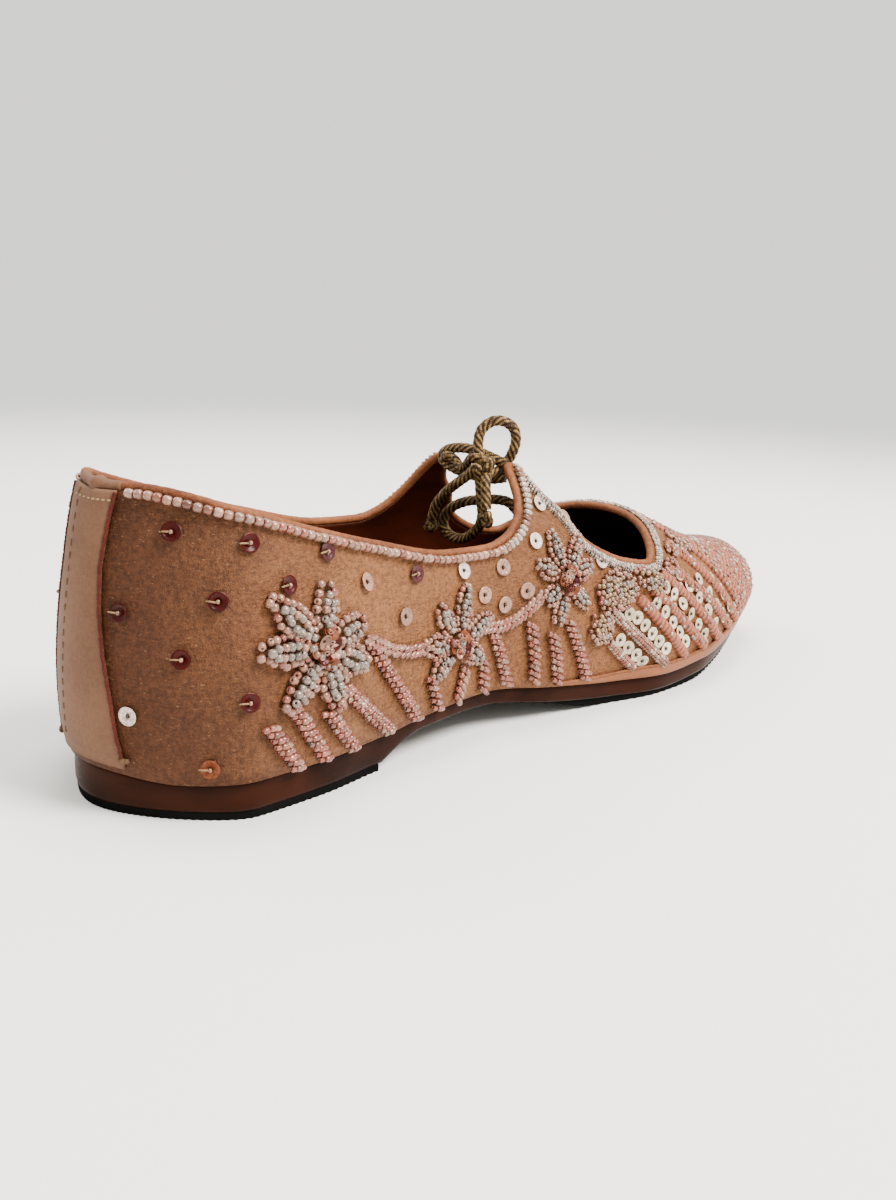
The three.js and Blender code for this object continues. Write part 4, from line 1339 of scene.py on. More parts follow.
sole_xs = np.concatenate([eased(sole_inset, heel_block_length, 50, True, False)[:-1],
                          np.linspace(heel_block_length, arch_start, 16)[:-1],
                          eased(arch_start, shoe_length - sole_inset, 90, False, True)])
sliced_body("burnished_outsole", sole_xs, sole_inset, lambda x: edge_height(x) - 0.05, outsole_bottom,
            sole_leather, "sole_leather", "outsole")
heel_xs = eased(tread_inset, heel_block_length - tread_inset, 90, True, False)
sliced_body("rubber_heel_tread", heel_xs, tread_inset, lambda x: 0 * x + heel_tread_thickness + 0.25,
            lambda x: 0 * x, tread_rubber, "tread_rubber", "heel_tread", teeth=0.35, round_edge=0.1)
fore_xs = eased(forefoot_tread_start, shoe_length - forefoot_inset, 120, False, True)
sliced_body("rubber_forefoot_tread", fore_xs, forefoot_inset, lambda x: outsole_bottom(x) - 0.05,
            tread_bottom, tread_rubber, "tread_rubber", "forefoot_tread", teeth=0.35, round_edge=0.1)
insole_inset = wall + insole_clearance
insole_xs = eased(insole_inset, shoe_length - insole_inset, 80, True, True)
sliced_body("lining_insole", insole_xs, insole_inset, lambda x: edge_height(x) + insole_thickness,
            edge_height, lining_leather, "lining", "insole")
print("sole pieces made")

# %% [markdown]
# All the beading is made of three small shapes set down many times: a round seed bead, a
# tiny bead and a cupped sequin. Stretched, they also serve as long beads and stitches.
# Each is a short profile turned round an axis, like work on a lathe.

# %% Small shapes to repeat
def lathe(name, profile, segments, axis):
    """A closed ring shape turned round the X or the Z axis, one unit across."""
    points, faces = [], []
    rows = len(profile)
    for k in range(segments):
        angle = 2 * math.pi * k / segments
        for along, radius in profile:
            if axis == "X":
                points.append((along, radius * math.cos(angle), radius * math.sin(angle)))
            else:
                points.append((radius * math.cos(angle), radius * math.sin(angle), along))
    for k in range(segments):
        following = (k + 1) % segments
        for i in range(rows):
            below = (i + 1) % rows
            faces.append((k * rows + i, k * rows + below, following * rows + below, following * rows + i))
    mesh = bpy.data.meshes.new(name)
    mesh.from_pydata(points, [], faces)
    mesh.polygons.foreach_set("use_smooth", [True] * len(faces))
    item = bpy.data.objects.new(name, mesh)
    bpy.context.scene.collection.objects.link(item)
    weld(item, 1e-7, True)
    return item


bead_profile = ((-0.40, 0.15), (-0.42, 0.33), (-0.27, 0.47), (0.0, 0.5), (0.27, 0.47),
                (0.42, 0.33), (0.40, 0.15))
tiny_profile = ((-0.38, 0.12), (-0.3, 0.42), (0.0, 0.5), (0.3, 0.42), (0.38, 0.12))
sequin_profile = ((-0.05, 0.12), (-0.06, 0.24), (0.0, 0.40), (0.05, 0.5), (0.085, 0.5), (0.045, 0.38),
                  (-0.01, 0.24), (-0.01, 0.12))
seed_bead = lathe("seed_bead_shape", bead_profile, 9, "X")
tiny_bead = lathe("tiny_bead_shape", tiny_profile, 7, "X")
sequin = lathe("sequin_shape", sequin_profile, 18, "Z")
print("faces of a seed bead:", len(seed_bead.data.polygons))

# %% [markdown]
# The tree takes a mesh of loose points, turns them into points, sets one copy of the
# shape on each, and realizes the copies. Turn and size are read from the points, and a
# small random turn keeps the beads from looking printed.

# %% Geometry Nodes: set shapes on points
def build_bead_tree():
    tree = bpy.data.node_groups.new("Set beads on points", "GeometryNodeTree")
    for label, kind in (("Points", "NodeSocketGeometry"), ("Shape", "NodeSocketObject"),
                        ("Finish", "NodeSocketMaterial"), ("Wobble", FLOAT), ("Seed", "NodeSocketInt")):
        tree.interface.new_socket(label, in_out="INPUT", socket_type=kind)
    tree.interface.new_socket("Beads", in_out="OUTPUT", socket_type="NodeSocketGeometry")
    entry, leave = tree.nodes.new("NodeGroupInput"), tree.nodes.new("NodeGroupOutput")
    shape = tree.nodes.new("GeometryNodeObjectInfo")
    to_points = tree.nodes.new("GeometryNodeMeshToPoints")
    place = tree.nodes.new("GeometryNodeInstanceOnPoints")
    turn = add_node(tree, "GeometryNodeInputNamedAttribute", data_type="FLOAT_VECTOR")
    size = add_node(tree, "GeometryNodeInputNamedAttribute", data_type="FLOAT_VECTOR")
    turn.inputs["Name"].default_value = "bead_turn"
    size.inputs["Name"].default_value = "bead_size"
    wobble = add_node(tree, "FunctionNodeRandomValue", data_type="FLOAT_VECTOR")
    most = add_node(tree, "ShaderNodeVectorMath", operation="SCALE")
    most.inputs[0].default_value = (1, 1, 1)
    least = add_node(tree, "ShaderNodeVectorMath", operation="SCALE")
    least.inputs[0].default_value = (-1, -1, -1)
    added = add_node(tree, "ShaderNodeVectorMath", operation="ADD")
    rotation = tree.nodes.new("FunctionNodeEulerToRotation")
    realize = tree.nodes.new("GeometryNodeRealizeInstances")
    finish = tree.nodes.new("GeometryNodeSetMaterial")
    link = tree.links.new
    link(entry.outputs["Points"], to_points.inputs[0])
    link(entry.outputs["Shape"], shape.inputs[0])
    link(entry.outputs["Wobble"], most.inputs["Scale"])
    link(entry.outputs["Wobble"], least.inputs["Scale"])
    link(most.outputs[0], wobble.inputs["Max"])
    link(least.outputs[0], wobble.inputs["Min"])
    link(entry.outputs["Seed"], wobble.inputs["Seed"])
    link(turn.outputs[0], added.inputs[0])
    link(wobble.outputs[0], added.inputs[1])
    link(added.outputs[0], rotation.inputs[0])
    link(to_points.outputs[0], place.inputs["Points"])
    link(shape.outputs["Geometry"], place.inputs["Instance"])
    link(rotation.outputs[0], place.inputs["Rotation"])
    link(size.outputs[0], place.inputs["Scale"])
    link(place.outputs[0], realize.inputs[0])
    link(realize.outputs[0], finish.inputs[0])
    link(entry.outputs["Finish"], finish.inputs["Material"])
    link(finish.outputs[0], leave.inputs[0])
    return tree


bead_tree = build_bead_tree()


def turns_of(axes, normals):
    """Euler turns that lay local X on the axes and local Z on the normals."""
    x = unit(axes)
    z = unit(normals - x * np.sum(normals * x, axis=-1, keepdims=True))
    y = np.cross(z, x)
    tilt = -np.arcsin(np.clip(x[..., 2], -1, 1))
    roll = np.arctan2(y[..., 2], z[..., 2])
    spin = np.arctan2(x[..., 1], x[..., 0])
    return np.stack([roll, tilt, spin], axis=-1)


print("bead tree ready")

# %% [markdown]
# Beads of one kind are collected first and made in one go, because one mesh of thousands
# of beads is far quicker than thousands of objects.

# %% Collecting beads
class Beads:
    """Collects beads, and makes them one mesh of the same shape and finish."""

    def __init__(self):
        self.places, self.turns, self.sizes, self.colors = [], [], [], []

    def add(self, places, axes, normals, size, colors):
        places = np.atleast_2d(places)
        count = len(places)
        self.places.append(places)
        self.turns.append(turns_of(np.broadcast_to(axes, (count, 3)), np.broadcast_to(normals, (count, 3))))
        self.sizes.append(np.broadcast_to(np.asarray(size, float), (count, 3)))
        self.colors.append(np.broadcast_to(np.asarray(colors, float), (count, 3)))

    def make(self, name, shape, finish, slot, replaced=(), wobble=0.12, seed=1):
        places = np.vstack(self.places)
        mesh = bpy.data.meshes.new(name + "_points")
        mesh.from_pydata([tuple(p) for p in to_frame(places)], [], [])
        vectors = (("bead_turn", np.vstack(self.turns)), ("bead_size", np.vstack(self.sizes) * MM))
        for key, values in vectors:
            layer = mesh.attributes.new(key, "FLOAT_VECTOR", "POINT")
            layer.data.foreach_set("vector", np.ascontiguousarray(values, dtype=np.float32).ravel())
        layer = mesh.attributes.new("bead_color", "FLOAT_COLOR", "POINT")
        colors = np.hstack([np.vstack(self.colors), np.ones((len(places), 1))])
        layer.data.foreach_set("color", colors.astype(np.float32).ravel())
        item = bpy.data.objects.new(name, mesh)
        bpy.context.scene.collection.objects.link(item)
        modifier = item.modifiers.new("beads", "NODES")
        modifier.node_group = bead_tree
        values = {"Shape": shape, "Finish": finish, "Wobble": wobble, "Seed": seed}
        for socket in bead_tree.interface.items_tree:
            if socket.in_out == "INPUT" and socket.name in values:
                modifier[socket.identifier] = values[socket.name]
        graph = bpy.context.evaluated_depsgraph_get()
        plain_mesh = bpy.data.meshes.new_from_object(item.evaluated_get(graph))
        item.modifiers.remove(modifier)
        item.data = plain_mesh
        plain_mesh.polygons.foreach_set("use_smooth", [True] * len(plain_mesh.polygons))
        file_piece(item, slot, *replaced)
        print(name, len(places), "beads,", len(plain_mesh.polygons), "faces")
        return item


# %% [markdown]
# Glass beads shine sharply, and their colour comes from the bead's own stored value, with
# a silvery lining that shows through in patches. Sequins are thin film with a softer
# shine. Both read the stored colour and add their own small variation.

# %% Materials: beads and sequins
def build_bead_finish(name, roughness, metallic, coat, gloss):
    material, tree, shader = new_material(name, roughness, Coat_Weight=coat, Coat_Roughness=0.05,
                                          Specular_IOR_Level=gloss)
    stored = add_node(tree, "ShaderNodeAttribute", attribute_name="bead_color")
    place = object_place(tree)
    patch = noise(tree, place, 1500.0, 2.0)
    shade = ramp(tree, patch, [(0.34, (0.55, 0.50, 0.48)), (0.6, (1.05, 1.03, 1.02))])
    color = mix_colors(tree, 1.0, stored.outputs["Color"], shade, "MULTIPLY")
    tree.links.new(color, shader.inputs["Base Color"])
    lined = math_node(tree, "MULTIPLY", math_node(tree, "GREATER_THAN", patch, 0.55), metallic)
    tree.links.new(lined, shader.inputs["Metallic"])
    tree.links.new(math_node(tree, "MULTIPLY_ADD", patch, 0.2, roughness - 0.08), shader.inputs["Roughness"])
    return material


bead_glass = build_bead_finish("bead_glass", 0.18, 0.45, 0.35, 0.4)
sequin_film = build_bead_finish("sequin_film", 0.28, 0.3, 0.0, 0.15)
thread = build_cloth("gold_thread", (0.28, 0.18, 0.09), (0.14, 0.08, 0.04), 0.4)

bead_palette = {
    "silver": (0.21, 0.165, 0.14), "clear": (0.27, 0.135, 0.092), "pink": (0.24, 0.082, 0.055),
    "rose": (0.22, 0.06, 0.04), "cream": (0.62, 0.52, 0.37), "white": (0.42, 0.33, 0.28),
    "gold": (0.24, 0.15, 0.07), "copper": (0.17, 0.045, 0.016), "wine": (0.045, 0.002, 0.001),
    "plum": (0.055, 0.013, 0.014), "blush": (0.34, 0.19, 0.14), "pearl": (0.66, 0.54, 0.48),
}
dice = np.random.default_rng(7)


def shades(names, count, spread=0.14):
    """Colours picked by turns from the named ones, each a little lighter or darker."""
    picked = np.array([bead_palette[name] for name in names])[dice.integers(0, len(names), count)]
    return np.clip(picked * dice.normal(1.0, spread, (count, 1)), 0, 1)


print("bead finishes ready")

# %% [markdown]
# An embroiderer marks a pattern on the flat side of the upper. The helper does the same:
# it takes a distance along the shoe and a height, and gives the place on the last.

# %% Helpers for places on the side of the shoe
def on_side(side, x, z, lift=0.0):
    """Points at a side view place, with normals and the directions forward and up."""
    x, z = np.broadcast_arrays(np.asarray(x, float), np.asarray(z, float))
    rises = np.minimum(rise_at_height(float(side), x, z), 0.985)
    point, normal = surface(float(side), x, rises)
    up = unit(np.array([0.0, 0.0, 1.0]) - normal * normal[..., 2:3])
    forward = np.cross(up, normal) * (1 if side < 0 else -1)
    forward = np.where(forward[..., :1] < 0, -forward, forward)
    return point + normal * lift, normal, forward, up


def path_on_side(side, spots, spacing, lift):
    line = smooth_line(np.asarray(spots, float), 60)
    point, normal, _, _ = on_side(side, line[:, 0], line[:, 1], lift)
    place, out = resample_both(point, normal, spacing)
    return place, line_tangents(place), out


SIDES = (-1, 1)
SIDE_NAMES = {-1: "medial", 1: "lateral"}
print("sides:", SIDE_NAMES)

# %% [markdown]
# Each flower has leaf shaped petals of packed seed beads: pink round the edge and silver
# inside, raised in the middle where felt pads them. Copper cups, blush sequins and loose
# beads fill the heart. In front lie three small leaves of tiny silver and blush beads.

# %% Flowers and leaves
flowers = (
    ("flower_back", (38.5, 35.0),
     ((25.1, 47.4), (40.6, 49.0), (51.6, 38.4), (52.6, 28.2), (43.5, 20.7), (28.4, 23.3), (21.0, 37.2))),
    ("flower_middle", (84.4, 26.1),
     ((77.9, 36.6), (88.7, 40.0), (96.8, 31.5), (93.7, 21.0), (75.8, 19.2), (71.7, 28.2))),
    ("flower_front", (122.1, 36.5),
     ((113.0, 41.6), (120.0, 48.8), (131.0, 46.6), (133.4, 39.2), (128.8, 29.2), (117.6, 25.6),
      (114.0, 32.0))),
)
bead_sizes = {"flower_back": 1.9, "flower_middle": 1.5, "flower_front": 1.4}
petal_half_widths = {"flower_back": 3.0, "flower_middle": 2.3, "flower_front": 2.1}
heart_scales = {"flower_back": 1.0, "flower_middle": 0.8, "flower_front": 0.8}
leaf_columns = ("name", "x", "z", "long", "wide", "lean")
leaves = (
    ("leaf_low", 133.6, 22.6, 4.8, 3.9, 60), ("leaf_middle", 140.8, 31.2, 7.8, 5.2, 6),
    ("leaf_high", 154.4, 32.0, 5.8, 3.4, -30),
)
print("places of flowers and leaves set")

# %% [markdown]
# Rows of beads are set across each petal from its foot to its tip, and their number
# follows the width. The beads at both ends of a row make the rim. Small random shifts
# keep them from lying like tiles.

# %% Flowers: petals and hearts
def petal_beads(beads, side, centre, tip, size, widest):
    centre, tip = np.array(centre), np.array(tip)
    length = np.linalg.norm(tip - centre)
    ahead = (tip - centre) / length
    across = np.array([-ahead[1], ahead[0]])
    for reach in np.arange(2.4 * size, length + 0.3, 0.9 * size):
        share = (reach - 2.5) / (length - 1.5)
        half = widest * math.sin(math.pi * min(max(share, 0.05), 1.0) ** 0.85)
        count = max(int(round(2 * half / (0.97 * size))) + 1, 1)
        for place in np.linspace(-half, half, count) if count > 1 else (0.0,):
            spot = centre + ahead * reach + across * place + dice.normal(0, 0.11 * size, 2)
            rim = count == 1 or abs(place) > half - 0.1
            lift = 0.6 * size if rim else 0.6 * size + 0.35 * widest * (1 - (place / (half + 0.01)) ** 2)
            point, out, forward, up = on_side(side, spot[0], spot[1], lift)
            axis = forward * across[0] + up * across[1] + dice.normal(0, 0.35, 3)
            colors = ["pink", "clear", "clear"] if rim else ["silver", "silver", "silver", "clear"]
            beads.add(point, axis, out, [size * dice.normal(1.0, 0.06)] * 3, shades(colors, 1))


heart_bead_count = 16
heart_cup_count = 7


def flower_heart(beads, cups, side, centre, scale):
    for _ in range(heart_bead_count):
        angle, reach = dice.uniform(0, 2 * math.pi), dice.uniform(0.5, 4.4) * scale
        point, out, forward, up = on_side(side, centre[0] + reach * math.cos(angle),
                                          centre[1] + reach * math.sin(angle), dice.uniform(1.4, 3.0))
        axis = dice.normal(0, 1, 3)
        beads.add(point, axis, out, (1.6, 1.6, 1.6), shades(["silver", "clear", "copper", "rose"], 1))
    for k in range(heart_cup_count):
        angle = 2 * math.pi * k / heart_cup_count + 0.4
        reach = (3.1 if k % 2 else 2.2) * scale
        point, out, forward, up = on_side(side, centre[0] + reach * math.cos(angle),
                                          centre[1] + reach * math.sin(angle), 2.3 + 0.3 * (k % 3))
        tilt = out + (forward * math.cos(angle) + up * math.sin(angle)) * (0.75 if k % 2 else -0.35)
        color = shades(["copper"] if k % 2 else ["blush", "wine"], 1)
        cups.add(point, forward, tilt, (3.5 * scale, 3.5 * scale, 6.0), color)


def build_flowers():
    for side in SIDES:
        cups = Beads()
        for name, centre, tips in flowers:
            beads = Beads()
            for tip in tips:
                petal_beads(beads, side, centre, tip, bead_sizes[name], petal_half_widths[name])
            flower_heart(beads, cups, side, centre, heart_scales[name])
            node = f"{name}_{SIDE_NAMES[side]}"
            beads.make(node + "_beads", seed_bead, bead_glass, "beads", [node])
        cups.make("flower_cups_" + SIDE_NAMES[side], sequin, sequin_film, "beads", seed=3)


print("flower helpers ready")

# %% [markdown]
# The leaves in front of the flowers are domed heaps of tiny beads, set in staggered rows.
# Smaller loose heaps cover the upper ends of the toe ridges.

# %% Leaves and toe clusters
leaf_bead_step = 1.35
leaf_row_step = 0.87 * leaf_bead_step
cluster_bead_count = 34


def build_leaves():
    for side in SIDES:
        for row in leaves:
            leaf = dict(zip(leaf_columns, row))
            beads = Beads()
            lean = math.radians(leaf["lean"])
            for i in range(-6, 7):
                for j in range(-6, 7):
                    u, v = (i + 0.5 * (j % 2)) * leaf_bead_step, j * leaf_row_step
                    inside = (u / leaf["long"]) ** 2 + (v / leaf["wide"]) ** 2
                    if inside > 1.05:
                        continue
                    x = leaf["x"] + u * math.cos(lean) - v * math.sin(lean) + dice.normal(0, 0.22)
                    z = leaf["z"] + u * math.sin(lean) + v * math.cos(lean) + dice.normal(0, 0.22)
                    point, out, _, _ = on_side(side, x, z, 0.8 + 1.3 * max(1 - inside, 0) ** 0.5)
                    names = ["blush", "clear", "silver", "gold"] if inside < 0.7 else ["pink", "clear"]
                    colors = shades(names, 1)
                    beads.add(point, dice.normal(0, 1, 3), out, (1.5, 1.5, 1.5), colors)
            node = f"{leaf['name']}_{SIDE_NAMES[side]}"
            beads.make(node + "_beads", tiny_bead, bead_glass, "beads", [node], seed=5)


toe_clusters = (
    (166.8, 34.0, 3.4, 2.2), (172.5, 37.2, 3.0, 2.0), (180.5, 37.2, 4.2, 2.2), (188.5, 35.0, 3.0, 1.8),
)


def build_toe_clusters():
    """Loose heaps of blush and copper beads where the ridges start."""
    for side in SIDES:
        beads = Beads()
        for x, z, long, high in toe_clusters:
            for _ in range(cluster_bead_count):
                angle, reach = dice.uniform(0, 2 * math.pi), math.sqrt(dice.random())
                point, out, _, _ = on_side(side, x + long * reach * math.cos(angle),
                                           z + high * reach * math.sin(angle), 1.9 - 1.1 * reach)
                colors = shades(["blush", "clear", "copper", "rose"], 1)
                beads.add(point, dice.normal(0, 1, 3), out, (1.4, 1.4, 1.4), colors)
        beads.make("toe_clusters_" + SIDE_NAMES[side], tiny_bead, bead_glass, "beads", seed=12)


build_flowers()
build_leaves()
build_toe_clusters()

# %% [markdown]
# Pink ropes join the flowers, and rays run from them down to the sole. A rope is two rows
# of long slanted beads. A ray is made of short slanted strings of three beads, one after
# another, so that both read as a twisted cord.

# %% Ropes and rays
ropes = (
    ((53.0, 34.0), (61.0, 29.8), (67.0, 28.2), (73.0, 27.6)),
    ((95.0, 28.6), (100.4, 28.1), (106.0, 29.4), (113.0, 33.4)),
)
rays = (
    ((24.6, 20.4), (32.5, 9.6)), ((30.9, 23.1), (40.6, 9.6)), ((40.6, 20.0), (49.4, 9.6)),
    ((45.2, 24.4), (62.2, 10.2)), ((54.4, 32.0), (71.6, 11.0)), ((75.8, 19.2), (79.3, 11.6)),
    ((87.9, 18.9), (86.5, 12.0)), ((94.5, 20.1), (96.0, 12.4)), ((98.2, 25.8), (104.1, 12.6)),
    ((110.1, 26.8), (112.4, 12.2)), ((116.9, 23.3), (119.9, 10.8)), ((122.1, 25.9), (129.6, 10.2)),
)
rope_bead_step = 1.5
rope_half_width = 0.75
rope_slant = 1.0
rope_long_bead = (3.0, 1.25, 1.25)
ray_step = 1.9
ray_half_width = 0.95
ray_slant = 0.85
ray_bead_size = (2.1, 1.5, 1.5)
print("routes and bead sizes set")

# %% [markdown]
# Both kinds follow a route and add a lot of beads at once, each a little out of place.

# %% Ropes and rays: the two kinds of row
def paired_row(beads, side, spots, colors):
    """Two rows of long slanted beads, side by side along the route."""
    place, tangent, out = path_on_side(side, spots, rope_bead_step, 1.0)
    across = np.cross(out, tangent)
    for way in (-1, 1):
        spot = place + across * rope_half_width * way + tangent * rope_bead_step * 0.25 * way
        spot = spot + dice.normal(0, 0.09, spot.shape)
        axis = across * math.cos(rope_slant) + tangent * math.sin(rope_slant)
        beads.add(spot, axis, out, rope_long_bead, shades(colors, len(spot)))


def twisted_row(beads, side, spots, colors):
    """Short slanted strings of three beads, one after another along the route."""
    place, tangent, out = path_on_side(side, spots, ray_step, 0.8)
    across = np.cross(out, tangent) * -side
    for way in (-1, 0, 1):
        spot = place + across * ray_half_width * way + tangent * ray_slant * way
        spot = spot + out * 0.45 * (1 - abs(way))
        spot = spot + dice.normal(0, 0.08, spot.shape)
        axis = across * ray_half_width + tangent * ray_slant
        beads.add(spot, axis, out, ray_bead_size, shades(colors, len(spot), 0.2))


def build_ropes_and_rays():
    for side in SIDES:
        rope, ray = Beads(), Beads()
        for spots in ropes:
            paired_row(rope, side, spots, ["pink", "clear"])
        for spots in rays:
            twisted_row(ray, side, spots, ["pink", "pink", "rose", "clear"])
        rope.make("pink_ropes_" + SIDE_NAMES[side], seed_bead, bead_glass, "beads")
        ray.make("bead_rays_" + SIDE_NAMES[side], seed_bead, bead_glass, "beads", seed=2)


build_ropes_and_rays()

# %% [markdown]
# A row of clear and pink beads is strung under the binding from the stay to the ear. On
# the rising edge of the ear the beads turn square to the edge, and in front of it a
# white rope of tiny beads runs round the front opening.

# %% Bead rows round the opening
row_start_x = {-1: 6.2, 1: 14.0}
ear_foot_x = 103.0
rim_bead_spacing = 2.0
rim_bead_size = (2.2, 2.05, 2.05)
ear_bead_spacing = 1.45
ear_bead_size = (2.5, 1.4, 1.4)
rope_spacing = 0.8
rope_radius = 0.9
rope_bead_size = (0.95, 1.0, 1.0)
rope_angles = np.radians((-60, -20, 20, 60, 100))


def ear_tip(place):
    """The number of the highest point of a topline between the ear's two feet."""
    return int(np.argmax(place[:, 2] * (place[:, 0] > 110) * (place[:, 0] < 125)))


def build_rim_rows():
    for side in SIDES:
        beads, rope = Beads(), Beads()
        place, tangent, out, into = topline(side, rim_bead_spacing)
        x = place[:, 0]
        strung = (x > row_start_x[side]) & (x <= ear_foot_x) & (np.arange(len(x)) < ear_tip(place))
        count = int(strung.sum())
        spot = place[strung] + into[strung] * 0.6 + out[strung] * 1.05 + dice.normal(0, 0.06, (count, 3))
        colors = shades(["clear", "blush", "pink", "clear"], count, 0.22)
        beads.add(spot, tangent[strung], out[strung], rim_bead_size, colors)
        place, tangent, out, into = topline(side, ear_bead_spacing)
        x = place[:, 0]
        square = (x > ear_foot_x) & (np.arange(len(x)) < ear_tip(place) - 1)
        count = int(square.sum())
        spot = place[square] + into[square] * 1.0 + out[square] * 0.9
        beads.add(spot, into[square], out[square], ear_bead_size, shades(["white", "clear"], count))
        beads.make("rim_beads_" + SIDE_NAMES[side], seed_bead, bead_glass, "beads", seed=4)
        place, tangent, out, into = topline(side, rope_spacing)
        ahead = np.arange(len(place)) > ear_tip(place)
        for angle in rope_angles:
            away = out[ahead] * math.cos(angle) + into[ahead] * math.sin(angle)
            spot = place[ahead] + into[ahead] * 1.25 + out[ahead] * 0.1 + away * rope_radius
            spot = spot + dice.normal(0, 0.07, spot.shape) + tangent[ahead] * angle * 0.3
            colors = shades(["white", "silver", "white"], len(spot), 0.1)
            rope.add(spot, tangent[ahead], away, rope_bead_size, colors)
        rope.make("white_rope_" + SIDE_NAMES[side], tiny_bead, bead_glass, "beads", seed=6)


build_rim_rows()

# %% [markdown]
# Sequins are scattered between the flowers: dark wine cups toward the heel, blush and
# white discs toward the ear. The cups are held by a small bead and one gold stitch, and
# on the flat discs a dark tiny bead paints the shade in the hole. The cream ones of the toe
# lie in slanted rows.

# %% Sequins
sequin_columns = ("x", "z", "kind")
sequins = (
    (8.8, 61.2, "wine"), (21.6, 59.1, "wine"), (42.4, 54.6, "plum"), (30.5, 49.5, "wine"),
    (15.3, 47.8, "wine"), (2.8, 44.4, "wine"), (10.0, 35.9, "wine"), (20.1, 26.8, "wine"),
    (13.9, 12.5, "copper"), (3.6, 23.0, "pearl"), (54.4, 46.2, "blush"), (71.6, 45.1, "plum"),
    (66.8, 36.2, "blush"), (88.6, 43.2, "pearl"), (102.6, 42.0, "blush"), (95.2, 36.4, "blush"),
    (109.4, 35.5, "blush"), (114.6, 47.0, "pearl"), (119.9, 55.2, "pearl"),
    (128.1, 51.0, "blush"), (137.9, 39.2, "pearl"), (102.0, 33.0, "blush"),
)
cream_rows = (
    ((140.8, 18.6), (143.8, 16.1), (146.7, 13.7), (149.0, 11.7)),
    ((144.5, 24.9), (147.2, 23.6), (149.6, 21.3), (152.0, 18.8), (154.4, 16.4), (157.2, 14.0)),
    ((154.7, 26.3), (157.6, 23.7), (160.3, 20.5), (163.2, 17.4), (166.0, 14.4)),
    ((160.4, 29.6), (163.2, 27.4), (166.4, 24.4), (169.6, 21.2), (172.6, 17.8), (175.4, 14.8)),
    ((168.6, 31.4), (172.0, 28.0), (175.4, 24.4), (178.6, 20.6), (181.6, 16.6)),
    ((179.0, 28.6), (182.4, 24.6), (185.4, 20.8), (188.2, 17.0)),
    ((188.4, 26.4), (191.6, 22.4), (194.6, 18.6)),
)


disc_width = 4.2
cup_depth = 5.5
disc_depth = 3.0
cream_disc_size = (3.7, 3.7, 3.4)
# A near black tiny bead paints the shade in the hole of a flat sequin.
painted_hole_shade = (0.03, 0.015, 0.01)
stitch_size = (3.4, 0.42, 0.42)
stitch_color = (0.6, 0.42, 0.28)


def build_sequins():
    for side in SIDES:
        discs, pins, stitches = Beads(), Beads(), Beads()
        for row in sequins:
            place = dict(zip(sequin_columns, row))
            kind = place["kind"]
            cupped = kind in ("wine", "plum", "copper")
            point, out, forward, up = on_side(side, place["x"], place["z"], 0.45)
            lean = out + dice.normal(0, 0.07, 3)
            size = (disc_width, disc_width, cup_depth if cupped else disc_depth)
            discs.add(point, forward, lean, size, shades([kind], 1, 0.08))
            if cupped:
                pins.add(point + out * 0.5, forward, out, (1.0, 1.0, 1.0), shades(["clear"], 1))
                stitches.add(point - forward * 1.2 + out * 0.45, forward, out, stitch_size, stitch_color)
            else:
                # A dark tiny bead paints the shade in the disc's hole.
                pins.add(point + out * 0.12, forward, out, (0.9, 0.9, 0.9), painted_hole_shade)
        for row in cream_rows:
            x, z = np.array(row).T
            point, out, forward, up = on_side(side, x, z, 0.7)
            lean = out + forward * 0.25 - up * 0.1 + dice.normal(0, 0.12, out.shape)
            discs.add(point, forward, lean, cream_disc_size, shades(["cream"], len(x), 0.12))
            # A dark tiny bead paints the shade in the disc's hole.
            pins.add(point + out * 0.1, forward, out, (0.95, 0.95, 0.95), painted_hole_shade)
        label = SIDE_NAMES[side]
        discs.make("sequins_" + label, sequin, sequin_film, "beads", seed=8)
        pins.make("sequin_pins_" + label, tiny_bead, bead_glass, "beads", seed=9)
        stitches.make("sequin_stitches_" + label, tiny_bead, thread, "beads", seed=10)


build_sequins()

# %% [markdown]
# The toe is covered with padded ridges: silk laid over cord and sewn down, fanning from
# the middle line forward to the sole. Each is a low half round tube laid on the last,
# with fine ripples where the thread lies over the padding.

# %% Toe ridges
ridge_columns = ("top_x", "top_z", "foot_x", "wide", "high", "bend", "beaded")
ridges = (
    (137.3, 18.2, 146.0, 2.2, 1.2, 1.00, 1.0), (138.6, 26.4, 157.2, 2.7, 1.4, 1.00, 1.0),
    (149.0, 28.5, 166.8, 3.2, 1.6, 0.96, 0.22), (154.5, 29.8, 176.4, 3.2, 1.6, 0.88, 0.22),
    (160.2, 32.9, 184.8, 3.2, 1.6, 0.74, 0.22), (165.0, 33.6, 194.0, 3.2, 1.6, 0.66, 0.22),
    (171.5, 38.4, 200.4, 3.2, 1.6, 0.60, 0.22), (175.5, 90.0, 205.4, 3.0, 1.5, 0.60, 0.22),
    (179.5, 90.0, 209.6, 3.0, 1.5, 0.60, 0.22), (183.5, 90.0, 213.6, 3.0, 1.5, 0.60, 0.22),
    (187.5, 90.0, 217.4, 3.0, 1.5, 0.62, 0.22), (191.5, 90.0, 221.0, 3.0, 1.4, 0.64, 0.22),
    (195.5, 90.0, 224.4, 3.0, 1.4, 0.68, 0.22), (199.5, 90.0, 227.6, 3.0, 1.4, 0.72, 0.22),
    (203.5, 90.0, 230.8, 3.0, 1.3, 0.76, 0.22), (207.5, 90.0, 234.0, 3.0, 1.3, 0.80, 0.22),
    (211.5, 90.0, 237.0, 3.0, 1.2, 0.85, 0.22), (215.5, 90.0, 237.8, 3.0, 1.2, 0.88, 0.22),
    (219.5, 90.0, 238.3, 3.0, 1.2, 0.92, 0.22), (223.5, 90.0, 238.6, 3.0, 1.1, 0.95, 0.22),
)
tip_start = 225.0
tip_bead_count = 520
